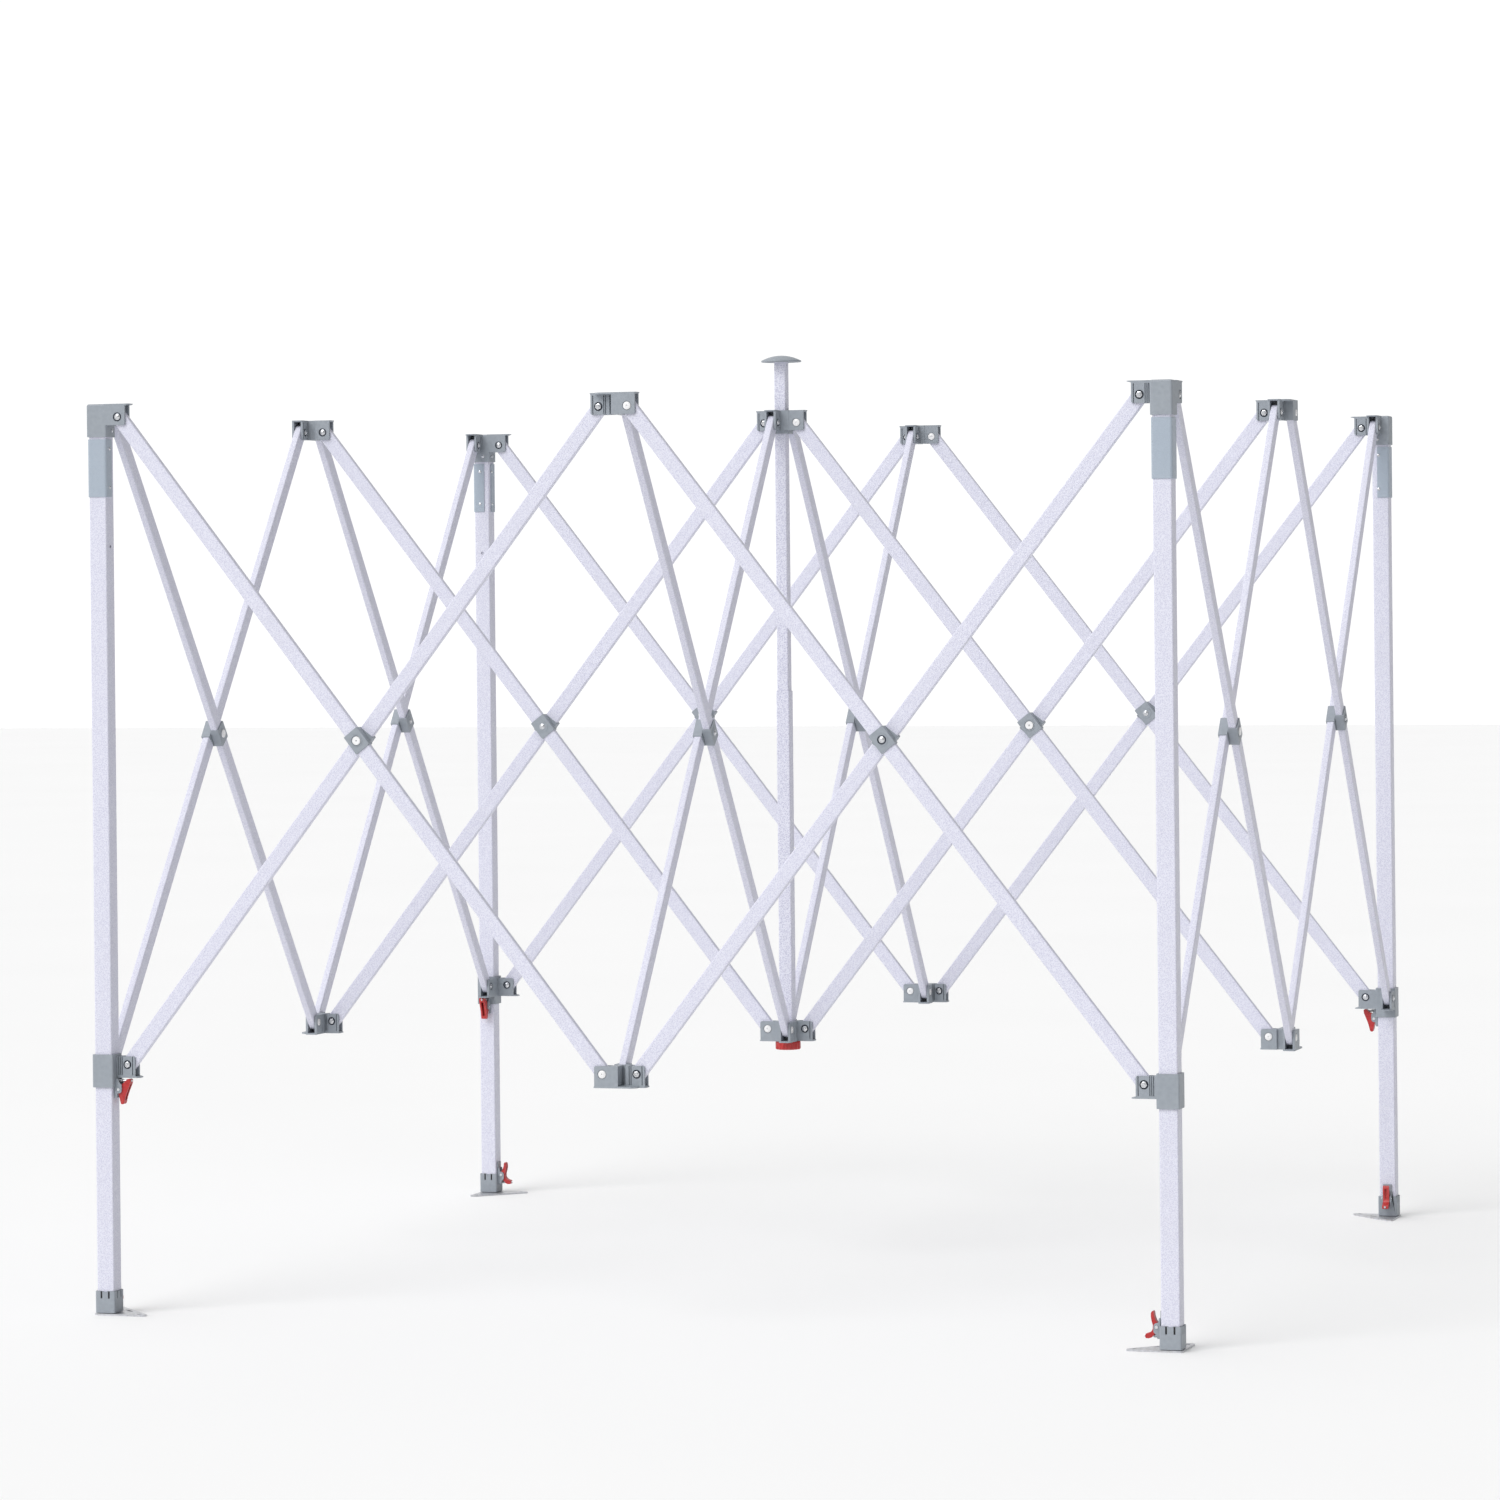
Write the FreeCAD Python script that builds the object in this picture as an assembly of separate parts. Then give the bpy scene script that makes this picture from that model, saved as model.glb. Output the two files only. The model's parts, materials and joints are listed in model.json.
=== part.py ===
"""Folding steel frame of a 3 m pop-up canopy, part-way open, legs retracted.

Millimetres, +Z up, origin on the floor at the centre of the square.  The
frame repeats four times about Z: everything is drawn once, for the front side
(outward -Y) and the front left corner, and turned by quarter turns.

Each side has two pairs of crossed bars, and one more pair runs from the
middle of each side to the centre.  All bars have the same length between
pivots, so one angle sets the whole frame.
"""
import FreeCAD, Part
import math
import os

# --- overall sizes -------------------------------------------------------
LEG_HEIGHT = 1580.0        # floor to the top of a corner bracket
BAR_LENGTH = 1425.0        # between the end pivots of every truss bar
REST_ANGLE = 52.0          # slope of the bars as built here, in degrees
OPEN_ANGLE = 7.9           # slope with the frame fully open and locked

# --- tubes ---------------------------------------------------------------
LEG_TUBE = 32.0            # outer leg, outside width
LEG_WALL = 1.0
INNER_TUBE = 27.0          # telescoping leg, outside width
INNER_WALL = 1.0
BAR_WIDTH = 26.0
BAR_THICKNESS = 13.0
BAR_WALL = 0.8
LOWER_POLE = 25.0
UPPER_POLE = 22.0
POLE_WALL = 1.2
TUBE_ROUND = 2.0           # outside corner radius of every tube

# --- moulded brackets ----------------------------------------------------
BRACKET_WALL = 3.0         # sleeve wall round a leg
EAR = 4.0                  # thickness of a fork's cheek
FLANGE = 3.0               # plate that closes a fork
FLANGE_LIP = 8.0           # flange past the fork's end at a corner
MID_LIP = 2.0              # and on the brackets of the sides and centre
WEB = 6.5                  # solid between a leg sleeve and a fork's slot
MID_CORE = 28.0            # width of a side bracket's middle block
FORK_OPEN_REACH = 14.0     # pivot to the open edge of a fork
FORK_HEADROOM = 20.0       # pivot to the flange
CORNER_HEIGHT = 57.0       # height of a corner bracket
SLIDER_ABOVE = 18.0        # slider sleeve above its pivots
SLIDER_BELOW = 39.0        # and below them
HUB_NECK = 20.0            # guide under the top hub
HUB_NECK_WALL = 3.5
COLLAR_WALL = 2.5
COLLAR_HEIGHT = 38.0
COLLAR_LIP = 3.0           # under the outer leg's lower end
COLLAR_SLOT = (3.0, 13.0)  # relief slots in the collar's top edge
SLOT_SPACING = 14.0

# --- clearances ----------------------------------------------------------
SIDE_GAP = 0.4             # bar to each cheek of a fork
END_GAP = 1.0              # bar's round end to the web
SLIDER_GAP = 0.5           # slider to leg, each side
POLE_GAP = 0.75            # pole to the top hub, each side
PIN_GAP = 0.05             # pivot in a moving hole, on radius
SEAT_GAP = 0.1             # fastener in a fixed hole, on radius
CLIP_GAP = 0.6             # between the two clips of a crossing
COLLAR_GAP = 1.0           # collar to foot plate, and inner leg to its hole

# --- fasteners -----------------------------------------------------------
BOLT_R = 3.0
HEAD_R = 6.8
HEAD_THICKNESS = 2.0
HEAD_SEAT_R = 8.0          # round recess for a head
HEAD_SEAT_DEPTH = 1.5
NUT_R = 5.8                # over the corners
NUT_THICKNESS = 5.0
CROSS_HEAD_R = 8.7
CROSS_NUT_THICKNESS = 3.5
RIVET_R = 3.0
RIVET_HEIGHT = 1.2

# --- crossing clips ------------------------------------------------------
CLIP_LENGTH = 39.0
CLIP_SIDE = 2.0            # over the bar's edges
CLIP_OUTER = 2.0           # over its outward face
CLIP_INNER = 1.2           # between the two bars
PLUG_LENGTH = 30.0         # plastic end plug of a bar

# --- lock levers ---------------------------------------------------------
LEVER_WIDTH = 12.0
LEVER_OUT = 9.0            # lever pivot from the leg's face
LEVER_EAR = 2.5
LEVER_GAP = 0.4
LEVER_HUB_R = 5.0
LEVER_PIN_R = 1.5
LOCK_PIN_R = 2.0
LOCK_PIN_RISE = 15.0       # lock pin from the lever's pivot
LOCK_PIN_OUT = 29.5        # its outer end from the leg's face
LOCK_TIP_GAP = 0.3         # its tip from the tube that it locks
LOCK_HOLE_R = 3.0
SPRING_R = 3.2
SLIDER_PIN_DROP = 28.0     # lock pin below the slider's pivots
FOOT_PIN_HEIGHT = 24.0     # lock pin of the leg extension above the floor
HOLE_PITCH = 100.0         # lock holes of the inner leg
HOLE_COUNT = 7

# --- inner leg and foot --------------------------------------------------
PLATE = 3.0                # foot plate thickness
PLATE_EDGE = 94.0          # along each side
PLATE_TIP = 12.0           # blunt tip width
PLATE_MARGIN = 1.5         # plate past the collar's outer corner
STAKE_HOLE_R = 4.5
STAKE_INSET = 13.0         # stake hole from the tip's end
STAKE_LINE = 9.0           # and from the plate's long edge
SLOT_LENGTH = 26.0         # strap slot beside the slanted edge
SLOT_WIDTH = 5.0
SLOT_INSET = 7.0
INNER_HEADROOM = 170.0     # inner leg's end below the corner bracket's cap
GUIDE_HEIGHT = 30.0        # plastic guide on the inner leg's end
GUIDE_GAP = 0.3

# --- centre pole ---------------------------------------------------------
LOWER_POLE_LENGTH = 641.0
POLE_SEAT = 15.0           # pole's lower end below the bottom hub's pivots
POLE_ENGAGED = 300.0       # upper pole inside the lower one
CAP_RISE = 90.0            # cap above the top hub
CAP_R = 37.5
CAP_HEIGHT = 12.0
KNOB_R = 23.5
KNOB_HEIGHT = 15.0
KNOB_GAP = 0.4
KNOB_STUD_R = 5.0
KNOB_FLUTES = 20
FLUTE_R = 3.0
FLUTE_RISE = 1.6           # flutes' centres outside the knob's radius

# --- hook-and-loop wraps -------------------------------------------------
WRAP_HEIGHT = 100.0
WRAP_THICKNESS = 1.8
WRAP_DROP = 4.0            # below the corner bracket
WRAP_EDGE = 6.0            # its edge past the middle of an inner face

# --- worked out from the sizes above -------------------------------------
FORK_REACH = BAR_WIDTH / 2 + END_GAP
FORK_HALF = BAR_THICKNESS / 2 + SIDE_GAP + EAR
PLANE = BAR_THICKNESS / 2 + CLIP_INNER + CLIP_GAP / 2
SLEEVE_HALF = LEG_TUBE / 2 + BRACKET_WALL
CORNER_PIVOT = SLEEVE_HALF + WEB + FORK_REACH
MID_PIVOT = MID_CORE / 2 + FORK_REACH
INNER_PIVOT = PLANE + FORK_HALF + FORK_REACH + END_GAP
HUB_PIVOT = CORNER_PIVOT + MID_PIVOT - INNER_PIVOT
SPREAD = BAR_LENGTH * math.cos(math.radians(REST_ANGLE))
RISE = BAR_LENGTH * math.sin(math.radians(REST_ANGLE))
HALF_SIDE = SPREAD + CORNER_PIVOT + MID_PIVOT
TOP_Z = LEG_HEIGHT - FLANGE - FORK_HEADROOM
LOW_Z = TOP_Z - RISE
OPEN_LOW_Z = TOP_Z - BAR_LENGTH * math.sin(math.radians(OPEN_ANGLE))
COLLAR_Z = PLATE + COLLAR_GAP
FOOT_LEVER_Z = FOOT_PIN_HEIGHT + LOCK_PIN_RISE
CORNER_LOW_Z = LEG_HEIGHT - CORNER_HEIGHT
TUBE_TOP_Z = LEG_HEIGHT - FLANGE
LEVER_FACE = LEG_TUBE / 2 + LEVER_OUT

SIDES = ["front", "right", "back", "left"]
CORNERS = ["front_left", "front_right", "back_right", "back_left"]


# --- small helpers -------------------------------------------------------
def vec(x, y, z):
    return FreeCAD.Vector(x, y, z)


def box(xs, ys, zs):
    """Box between three pairs of limits, each given in either order."""
    low = vec(min(xs), min(ys), min(zs))
    return Part.makeBox(abs(xs[1] - xs[0]), abs(ys[1] - ys[0]), abs(zs[1] - zs[0]), low)


def square(half, zs):
    return box((-half, half), (-half, half), zs)


def rod(radius, start, end):
    """Cylinder from one point to another."""
    way = end - start
    return Part.makeCylinder(radius, way.Length, start, way)


def prism(points, way):
    """Solid swept along way from a closed outline."""
    outline = Part.makePolygon(points + points[:1])
    return Part.Face(outline).extrude(way)


def quarter(shape, turns):
    turned = shape.copy()
    turned.rotate(vec(0, 0, 0), vec(0, 0, 1), 90 * turns)
    return turned


def moved(shape, x, y, z):
    copy = shape.copy()
    copy.translate(vec(x, y, z))
    return copy


def flipped(shape):
    """Mirror image in the plane z = 0."""
    return shape.mirror(vec(0, 0, 0), vec(0, 0, 1))


def tube(width, depth, wall, zs):
    """Rectangular tube along Z with rounded corners, open at both ends."""
    outer = box((-width / 2, width / 2), (-depth / 2, depth / 2), zs)
    inner_half = (width / 2 - wall, depth / 2 - wall)
    bore = box((-inner_half[0], inner_half[0]), (-inner_half[1], inner_half[1]), zs)
    edges = [e for e in outer.Edges if abs(e.tangentAt(e.FirstParameter).z) > 0.9]
    return outer.makeFillet(TUBE_ROUND, edges).cut(bore)


def bolt(start, end, nut_at_end=True):
    """Bolt with a round head at start and a hexagon nut at end.

    start and end are the faces that the head and the nut bear on."""
    way = end - start
    way.normalize()
    shaft_end = end + way * NUT_THICKNESS if nut_at_end else end
    body = rod(BOLT_R, start, shaft_end)
    body = body.fuse(rod(HEAD_R, start - way * HEAD_THICKNESS, start))
    if nut_at_end:
        side = vec(0, 0, NUT_R)
        points = []
        for corner in range(6):
            spoke = FreeCAD.Rotation(way, 60 * corner).multVec(side)
            points.append(end + spoke)
        body = body.fuse(prism(points, way * NUT_THICKNESS))
    return body.removeSplitter()


# --- forks: where a bar is pinned to a bracket ---------------------------
def fork_block(back, lip=0.0):
    """Solid of a fork before its slot is cut: pivot at the origin, bar along
    +X, flange above.  back is how far it runs towards the bracket."""
    body = box((-back, FORK_REACH), (-FORK_HALF, FORK_HALF), (-FORK_OPEN_REACH, FORK_HEADROOM))
    cover_z = (FORK_HEADROOM, FORK_HEADROOM + FLANGE)
    cover = box((-back, FORK_REACH + lip), (-FORK_HALF, FORK_HALF), cover_z)
    return body.fuse(cover)


def fork_cut():
    """Slot for the bar, hole for its bolt, and a round seat on each cheek."""
    half = BAR_THICKNESS / 2 + SIDE_GAP
    slot = box((-FORK_REACH, 3 * FORK_REACH), (-half, half), (-2 * FORK_OPEN_REACH, FORK_HEADROOM))
    seat = FORK_HALF - HEAD_SEAT_DEPTH
    hole = rod(BOLT_R + SEAT_GAP, vec(0, -FORK_HALF - 1, 0), vec(0, FORK_HALF + 1, 0))
    near = rod(HEAD_SEAT_R, vec(0, -FORK_HALF - 1, 0), vec(0, -seat, 0))
    far = rod(HEAD_SEAT_R, vec(0, seat, 0), vec(0, FORK_HALF + 1, 0))
    return slot.fuse([hole, near, far])


def fork_bolt(head_side):
    """The fork's own bolt; head_side is -1 or 1 along Y."""
    seat = FORK_HALF - HEAD_SEAT_DEPTH
    return bolt(vec(0, head_side * seat, 0), vec(0, -head_side * seat, 0))


class Bracket:
    """A moulded block with forks; upward brackets carry their flange on top."""

    def __init__(self, core, upward):
        self.body = core
        self.upward = upward
        self.cuts = []
        self.bolts = []

    def place(self, shape, turns, x, y):
        upright = shape if self.upward else flipped(shape)
        return moved(quarter(upright, turns), x, y, 0)

    def add_fork(self, turns, x, y, back, head_side, lip=0.0):
        """Fork with its pivot at x, y, pointing turns quarter turns from +X."""
        self.body = self.body.fuse(self.place(fork_block(back, lip), turns, x, y))
        self.cuts.append(self.place(fork_cut(), turns, x, y))
        self.bolts.append(self.place(fork_bolt(head_side), turns, x, y))

    def solids(self, z, more_cuts=()):
        """The finished block and its bolts, with the pivots at height z."""
        body = self.body.cut(self.cuts + list(more_cuts)).removeSplitter()
        return [moved(s, 0, 0, z) for s in [body] + self.bolts]


# --- truss bars ----------------------------------------------------------
def bar_solids(outward):
    """One bar along +X from pivot to pivot, with its plugs and its clip.

    outward is -1 or 1 along Y: the side away from the bar that it crosses."""
    half_w = BAR_WIDTH / 2
    half_t = BAR_THICKNESS / 2
    middle = BAR_LENGTH / 2
    straight = tube(BAR_WIDTH, BAR_THICKNESS, BAR_WALL, (-half_w, BAR_LENGTH + half_w))
    straight.rotate(vec(0, 0, 0), vec(0, 1, 0), 90)
    bore_w = half_w - BAR_WALL
    bore_t = half_t - BAR_WALL
    rounds = rod(half_w, vec(0, -half_t, 0), vec(0, half_t, 0))
    rounds = rounds.fuse(rod(half_w, vec(BAR_LENGTH, -half_t, 0), vec(BAR_LENGTH, half_t, 0)))
    rounds = rounds.fuse(box((0, BAR_LENGTH), (-half_t, half_t), (-half_w, half_w)))
    holes = []
    for x in (0, middle, BAR_LENGTH):
        holes.append(rod(BOLT_R + PIN_GAP, vec(x, -half_w, 0), vec(x, half_w, 0)))
    shell = straight.common(rounds).cut(holes)
    plugs = []
    for x, inward in ((0, 1), (BAR_LENGTH, -1)):
        slug_x = (x - inward * half_w, x + inward * (PLUG_LENGTH - half_w))
        slug = box(slug_x, (-bore_t, bore_t), (-bore_w, bore_w))
        plugs.append(slug.common(rounds).cut(holes))
    clip_y = (-outward * (half_t + CLIP_INNER), outward * (half_t + CLIP_OUTER))
    clip_z = (-half_w - CLIP_SIDE, half_w + CLIP_SIDE)
    clip = box((middle - CLIP_LENGTH / 2, middle + CLIP_LENGTH / 2), clip_y, clip_z)
    clip = clip.cut([box((0, BAR_LENGTH), (-half_t, half_t), (-half_w, half_w))] + holes)
    return [shell] + plugs + [clip]


def crossing_bolt(facing):
    """Bolt through both bars of a crossing, on the outer bar.

    facing is the way its head looks along Y: -1 outward, 1 inward."""
    face = PLANE + BAR_THICKNESS / 2 + CLIP_OUTER
    inner_face = face + CLIP_GAP
    head_face, nut_face = (face, inner_face) if facing < 0 else (inner_face, face)
    nut_end = nut_face + CROSS_NUT_THICKNESS
    body = rod(BOLT_R, vec(0, facing * head_face, 0), vec(0, -facing * nut_end, 0))
    head_end = facing * (head_face + HEAD_THICKNESS)
    head = rod(CROSS_HEAD_R, vec(0, facing * head_face, 0), vec(0, head_end, 0))
    nut = rod(HEAD_R, vec(0, -facing * nut_face, 0), vec(0, -facing * nut_end, 0))
    return body.fuse([head, nut])


def sloped(solids, upward):
    """Turn a level bar in the XZ plane to its slope, up or down along +X."""
    angle = -REST_ANGLE if upward else REST_ANGLE
    turned = [s.copy() for s in solids]
    for solid in turned:
        solid.rotate(vec(0, 0, 0), vec(0, 1, 0), angle)
    return turned


def placed_bar(start, upward, outward, turns=0, bolt_facing=0):
    """A bar from its first pivot, drawn along +X and turned about Z.

    An outer bar carries the bolt of its crossing; bolt_facing is 0 without one."""
    level = bar_solids(outward)
    if bolt_facing:
        level.append(moved(crossing_bolt(bolt_facing), BAR_LENGTH / 2, PLANE, 0))
    return [moved(quarter(s, turns), *start) for s in sloped(level, upward)]


def side_bars():
    """The four bars of the front side, by name, left to right from outside."""
    far = HALF_SIDE - CORNER_PIVOT
    outer_y = -HALF_SIDE - PLANE
    inner_y = -HALF_SIDE + PLANE
    return {
        "left_down": placed_bar((-far, outer_y, TOP_Z), False, -1, bolt_facing=-1),
        "left_up": placed_bar((-far, inner_y, LOW_Z), True, 1),
        "right_up": placed_bar((MID_PIVOT, inner_y, LOW_Z), True, 1),
        "right_down": placed_bar((MID_PIVOT, outer_y, TOP_Z), False, -1, bolt_facing=1),
    }


def inner_bars():
    """The crossed pair from the centre out to the front side."""
    return {
        "inner_high": placed_bar((-PLANE, -HUB_PIVOT, TOP_Z), False, -1, 3, -1),
        "inner_low": placed_bar((PLANE, -HUB_PIVOT, LOW_Z), True, 1, 3),
    }


# --- brackets in the middle of a side ------------------------------------
def side_bracket(upward):
    """T-shaped bracket of the front side, at the top or at the bottom."""
    tall = (-FORK_OPEN_REACH, FORK_HEADROOM + FLANGE)
    depth = INNER_PIVOT - FORK_REACH
    core = box((-MID_CORE / 2, MID_CORE / 2), (-PLANE - FORK_HALF, depth), tall)
    core = core if upward else flipped(core)
    side = 1 if upward else -1
    bracket = Bracket(core, upward)
    bracket.add_fork(2, -MID_PIVOT, side * PLANE, FORK_REACH + 1, -side, MID_LIP)
    bracket.add_fork(0, MID_PIVOT, -side * PLANE, FORK_REACH + 1, -side, MID_LIP)
    bracket.add_fork(1, side * PLANE, INNER_PIVOT, FORK_REACH + 1, side, MID_LIP)
    recess_y = (-PLANE - FORK_HALF, PLANE - FORK_HALF)
    recess = box((-side * MID_CORE, 0), recess_y, (-2 * FORK_HEADROOM, 2 * FORK_HEADROOM))
    z = TOP_Z if upward else LOW_Z
    return [moved(s, 0, -HALF_SIDE, 0) for s in bracket.solids(z, [recess])]


# --- hubs and centre pole ------------------------------------------------
def hub(upward):
    """Four-armed hub; the arms sit beside the centre lines like a pinwheel."""
    half = HUB_PIVOT - FORK_REACH
    tall = (-FORK_OPEN_REACH, FORK_HEADROOM + FLANGE)
    core = square(half, tall)
    core = core if upward else flipped(core)
    bracket = Bracket(core, upward)
    shift = -PLANE if upward else PLANE
    for turns in range(4):
        pivot = FreeCAD.Rotation(vec(0, 0, 1), 90 * turns).multVec(vec(shift, -HUB_PIVOT, 0))
        head_side = -1 if upward else 1
        bracket.add_fork(turns + 3, pivot.x, pivot.y, FORK_REACH + 1, head_side, MID_LIP)
    return bracket


def top_hub():
    bracket = hub(True)
    bore_half = LOWER_POLE / 2 + POLE_GAP
    low = -FORK_OPEN_REACH - HUB_NECK
    bracket.body = bracket.body.fuse(square(bore_half + HUB_NECK_WALL, (low, 0)))
    bore = square(bore_half, (low - 1, FORK_HEADROOM + FLANGE + 1))
    return bracket.solids(TOP_Z, [bore])


def bottom_hub():
    bracket = hub(False)
    seat = square(LOWER_POLE / 2, (-POLE_SEAT, FORK_HEADROOM))
    base = -FORK_HEADROOM - FLANGE
    stud_hole = rod(KNOB_STUD_R + PIN_GAP, vec(0, 0, base - 1), vec(0, 0, 0))
    return bracket.solids(LOW_Z, [seat, stud_hole])


def lower_pole():
    foot = LOW_Z - POLE_SEAT
    return [tube(LOWER_POLE, LOWER_POLE, POLE_WALL, (foot, foot + LOWER_POLE_LENGTH))]


def cap_z():
    return TOP_Z + FORK_HEADROOM + FLANGE + CAP_RISE


def upper_pole():
    low = LOW_Z - POLE_SEAT + LOWER_POLE_LENGTH - POLE_ENGAGED
    return [tube(UPPER_POLE, UPPER_POLE, POLE_WALL, (low, cap_z()))]


def pole_cap():
    """Domed cap: a slice of a ball over a short rim."""
    ball_r = (CAP_R ** 2 + CAP_HEIGHT ** 2) / (2 * CAP_HEIGHT)
    ball = Part.makeSphere(ball_r, vec(0, 0, cap_z() + CAP_HEIGHT - ball_r))
    slab = rod(CAP_R, vec(0, 0, cap_z()), vec(0, 0, cap_z() + CAP_HEIGHT))
    return [ball.common(slab)]


def pole_knob():
    """Fluted knob under the bottom hub, with its stud."""
    top = LOW_Z - FORK_HEADROOM - FLANGE - KNOB_GAP
    body = rod(KNOB_R, vec(0, 0, top - KNOB_HEIGHT), vec(0, 0, top))
    flutes = []
    for step in range(KNOB_FLUTES):
        spoke = FreeCAD.Rotation(vec(0, 0, 1), 360 / KNOB_FLUTES * (step + 0.5))
        centre = spoke.multVec(vec(KNOB_R + FLUTE_RISE, 0, 0))
        low_end = centre + vec(0, 0, top - KNOB_HEIGHT - 1)
        flutes.append(rod(FLUTE_R, low_end, centre + vec(0, 0, top + 1)))
    stud_top = LOW_Z - POLE_SEAT - 1
    return [body.cut(flutes).fuse(rod(KNOB_STUD_R, vec(0, 0, top - 1), vec(0, 0, stud_top)))]


# --- corner bracket, outer leg and its collar ----------------------------
def corner_bracket():
    """Cap and sleeve on a leg's top with two forks, in the leg's own axes."""
    rise = LEG_HEIGHT - TOP_Z
    core = square(SLEEVE_HALF, (rise - CORNER_HEIGHT, rise))
    bracket = Bracket(core, True)
    back = CORNER_PIVOT - SLEEVE_HALF + 1
    bracket.add_fork(0, CORNER_PIVOT, -PLANE, back, -1, FLANGE_LIP)
    bracket.add_fork(1, PLANE, CORNER_PIVOT, back, -1, FLANGE_LIP)
    seat = square(LEG_TUBE / 2, (-2 * CORNER_HEIGHT, rise - FLANGE))
    return bracket.solids(TOP_Z, [seat])


def corner_screws():
    """Screw heads on the two inner faces of a corner bracket's sleeve."""
    z = CORNER_LOW_Z + CORNER_HEIGHT / 5
    face = SLEEVE_HALF
    screws = []
    for turns, across in ((0, 5.0), (1, -5.0)):
        head = rod(RIVET_R, vec(face, across, z), vec(face + RIVET_HEIGHT, across, z))
        screws.append(quarter(head, turns))
    return screws


def wrap():
    """Hook-and-loop band round the outer faces, and its rivets."""
    top = CORNER_LOW_Z - WRAP_DROP
    zs = (top - WRAP_HEIGHT, top)
    half = LEG_TUBE / 2 + WRAP_THICKNESS
    gap = box((WRAP_EDGE, 2 * half), (WRAP_EDGE, 2 * half), zs)
    band = square(half, zs).cut([square(LEG_TUBE / 2, zs), gap])
    rivets = []
    for z in (top - WRAP_HEIGHT / 6, top - WRAP_HEIGHT * 5 / 6):
        for turns, across in ((0, -3.0), (1, 3.0)):
            head = rod(RIVET_R, vec(half, across, z), vec(half + RIVET_HEIGHT, across, z))
            rivets.append(quarter(head, turns))
    return [band] + rivets


def lever_window(z, reach_in):
    """Opening that lets a lock pin tilt as its lever turns, on the +X face."""
    half = LOCK_PIN_R + 1.5
    return box((reach_in, LEG_TUBE), (-half, half), (z - 4.0, z + 4.5))


def outer_leg():
    body = tube(LEG_TUBE, LEG_TUBE, LEG_WALL, (COLLAR_Z + COLLAR_LIP, TUBE_TOP_Z))
    lock_z = OPEN_LOW_Z - SLIDER_PIN_DROP
    lock_hole = rod(LOCK_HOLE_R, vec(0, 0, lock_z), vec(LEG_TUBE, 0, lock_z))
    window = flipped(lever_window(-FOOT_PIN_HEIGHT, 0))
    return body.cut([lock_hole, quarter(window, 1)])


def collar():
    """Moulding at the outer leg's lower end that holds the foot lever."""
    half = LEG_TUBE / 2 + COLLAR_WALL
    top = COLLAR_Z + COLLAR_HEIGHT
    body = square(half, (COLLAR_Z, top))
    body = body.fuse(quarter(flipped(moved(lever_ears(), 0, 0, -FOOT_LEVER_Z)), 1))
    leg_room = square(LEG_TUBE / 2, (COLLAR_Z + COLLAR_LIP, 2 * top))
    inner_room = square(INNER_TUBE / 2 + COLLAR_GAP / 2, (0, top))
    cuts = [leg_room, inner_room, quarter(flipped(lever_window(-FOOT_PIN_HEIGHT, 0)), 1)]
    width, deep = COLLAR_SLOT
    for turns in (0, 2, 3):
        for across in (-SLOT_SPACING / 2, SLOT_SPACING / 2):
            ys = (across - width / 2, across + width / 2)
            cuts.append(quarter(box((0, 2 * half), ys, (top - deep, top + 1)), turns))
    return body.cut(cuts).removeSplitter()


# --- lock levers ---------------------------------------------------------
def lever_ears():
    """Two cheeks that hold a lever on the +X face, its pivot at z = 0."""
    face = LEG_TUBE / 2 + 1.0
    outline = [(face, -7), (LEVER_FACE + 3, -7), (LEVER_FACE + 6, -2), (LEVER_FACE + 6, 19), (face, 19)]
    inside = LEVER_WIDTH / 2 + LEVER_GAP
    ears = []
    for side in (-1, 1):
        points = [vec(x, side * inside, z) for x, z in outline]
        ears.append(prism(points, vec(0, side * LEVER_EAR, 0)))
    hole = rod(LEVER_PIN_R + SEAT_GAP, vec(LEVER_FACE, -LEG_TUBE, 0), vec(LEVER_FACE, LEG_TUBE, 0))
    return ears[0].fuse(ears[1]).cut(hole)


def lever_pivot():
    reach = LEVER_WIDTH / 2 + LEVER_GAP + LEVER_EAR + 0.5
    return rod(LEVER_PIN_R, vec(LEVER_FACE, -reach, 0), vec(LEVER_FACE, reach, 0))


def lever(tube_face):
    """Bell-crank lever with its lock pin and spring, pivot at z = 0.

    The finger end points down.  tube_face is the face that the pin meets."""
    outline = [
        (-4.5, 2.0), (1.0, 6.0), (15.0, 18.5), (21.0, 18.5), (21.0, 11.5), (16.0, 10.5),
        (6.0, 1.5), (5.0, -6.0), (7.5, -22.0), (5.5, -25.5), (2.5, -25.0), (-1.0, -10.0), (-4.5, -3.0),
    ]
    half = LEVER_WIDTH / 2
    points = [vec(LEVER_FACE + x, -half, z) for x, z in outline]
    crank = prism(points, vec(0, LEVER_WIDTH, 0))
    crank = crank.fuse(rod(LEVER_HUB_R, vec(LEVER_FACE, -half, 0), vec(LEVER_FACE, half, 0)))
    pin_start = vec(tube_face + LOCK_TIP_GAP, 0, LOCK_PIN_RISE)
    pin_end = vec(LEG_TUBE / 2 + LOCK_PIN_OUT + 1.5, 0, LOCK_PIN_RISE)
    holes = [
        rod(LEVER_PIN_R + PIN_GAP, vec(LEVER_FACE, -LEG_TUBE, 0), vec(LEVER_FACE, LEG_TUBE, 0)),
        rod(LOCK_PIN_R + SEAT_GAP, pin_start, pin_end + vec(5, 0, 0)),
    ]
    coil_x = (LEVER_FACE - 4.5, LEVER_FACE + 6.5)
    coil = rod(SPRING_R, vec(coil_x[0], 0, LOCK_PIN_RISE), vec(coil_x[1], 0, LOCK_PIN_RISE))
    coil = coil.cut(rod(LOCK_PIN_R + SEAT_GAP, pin_start, pin_end))
    return [crank.cut(holes).removeSplitter(), rod(LOCK_PIN_R, pin_start, pin_end), coil]


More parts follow.
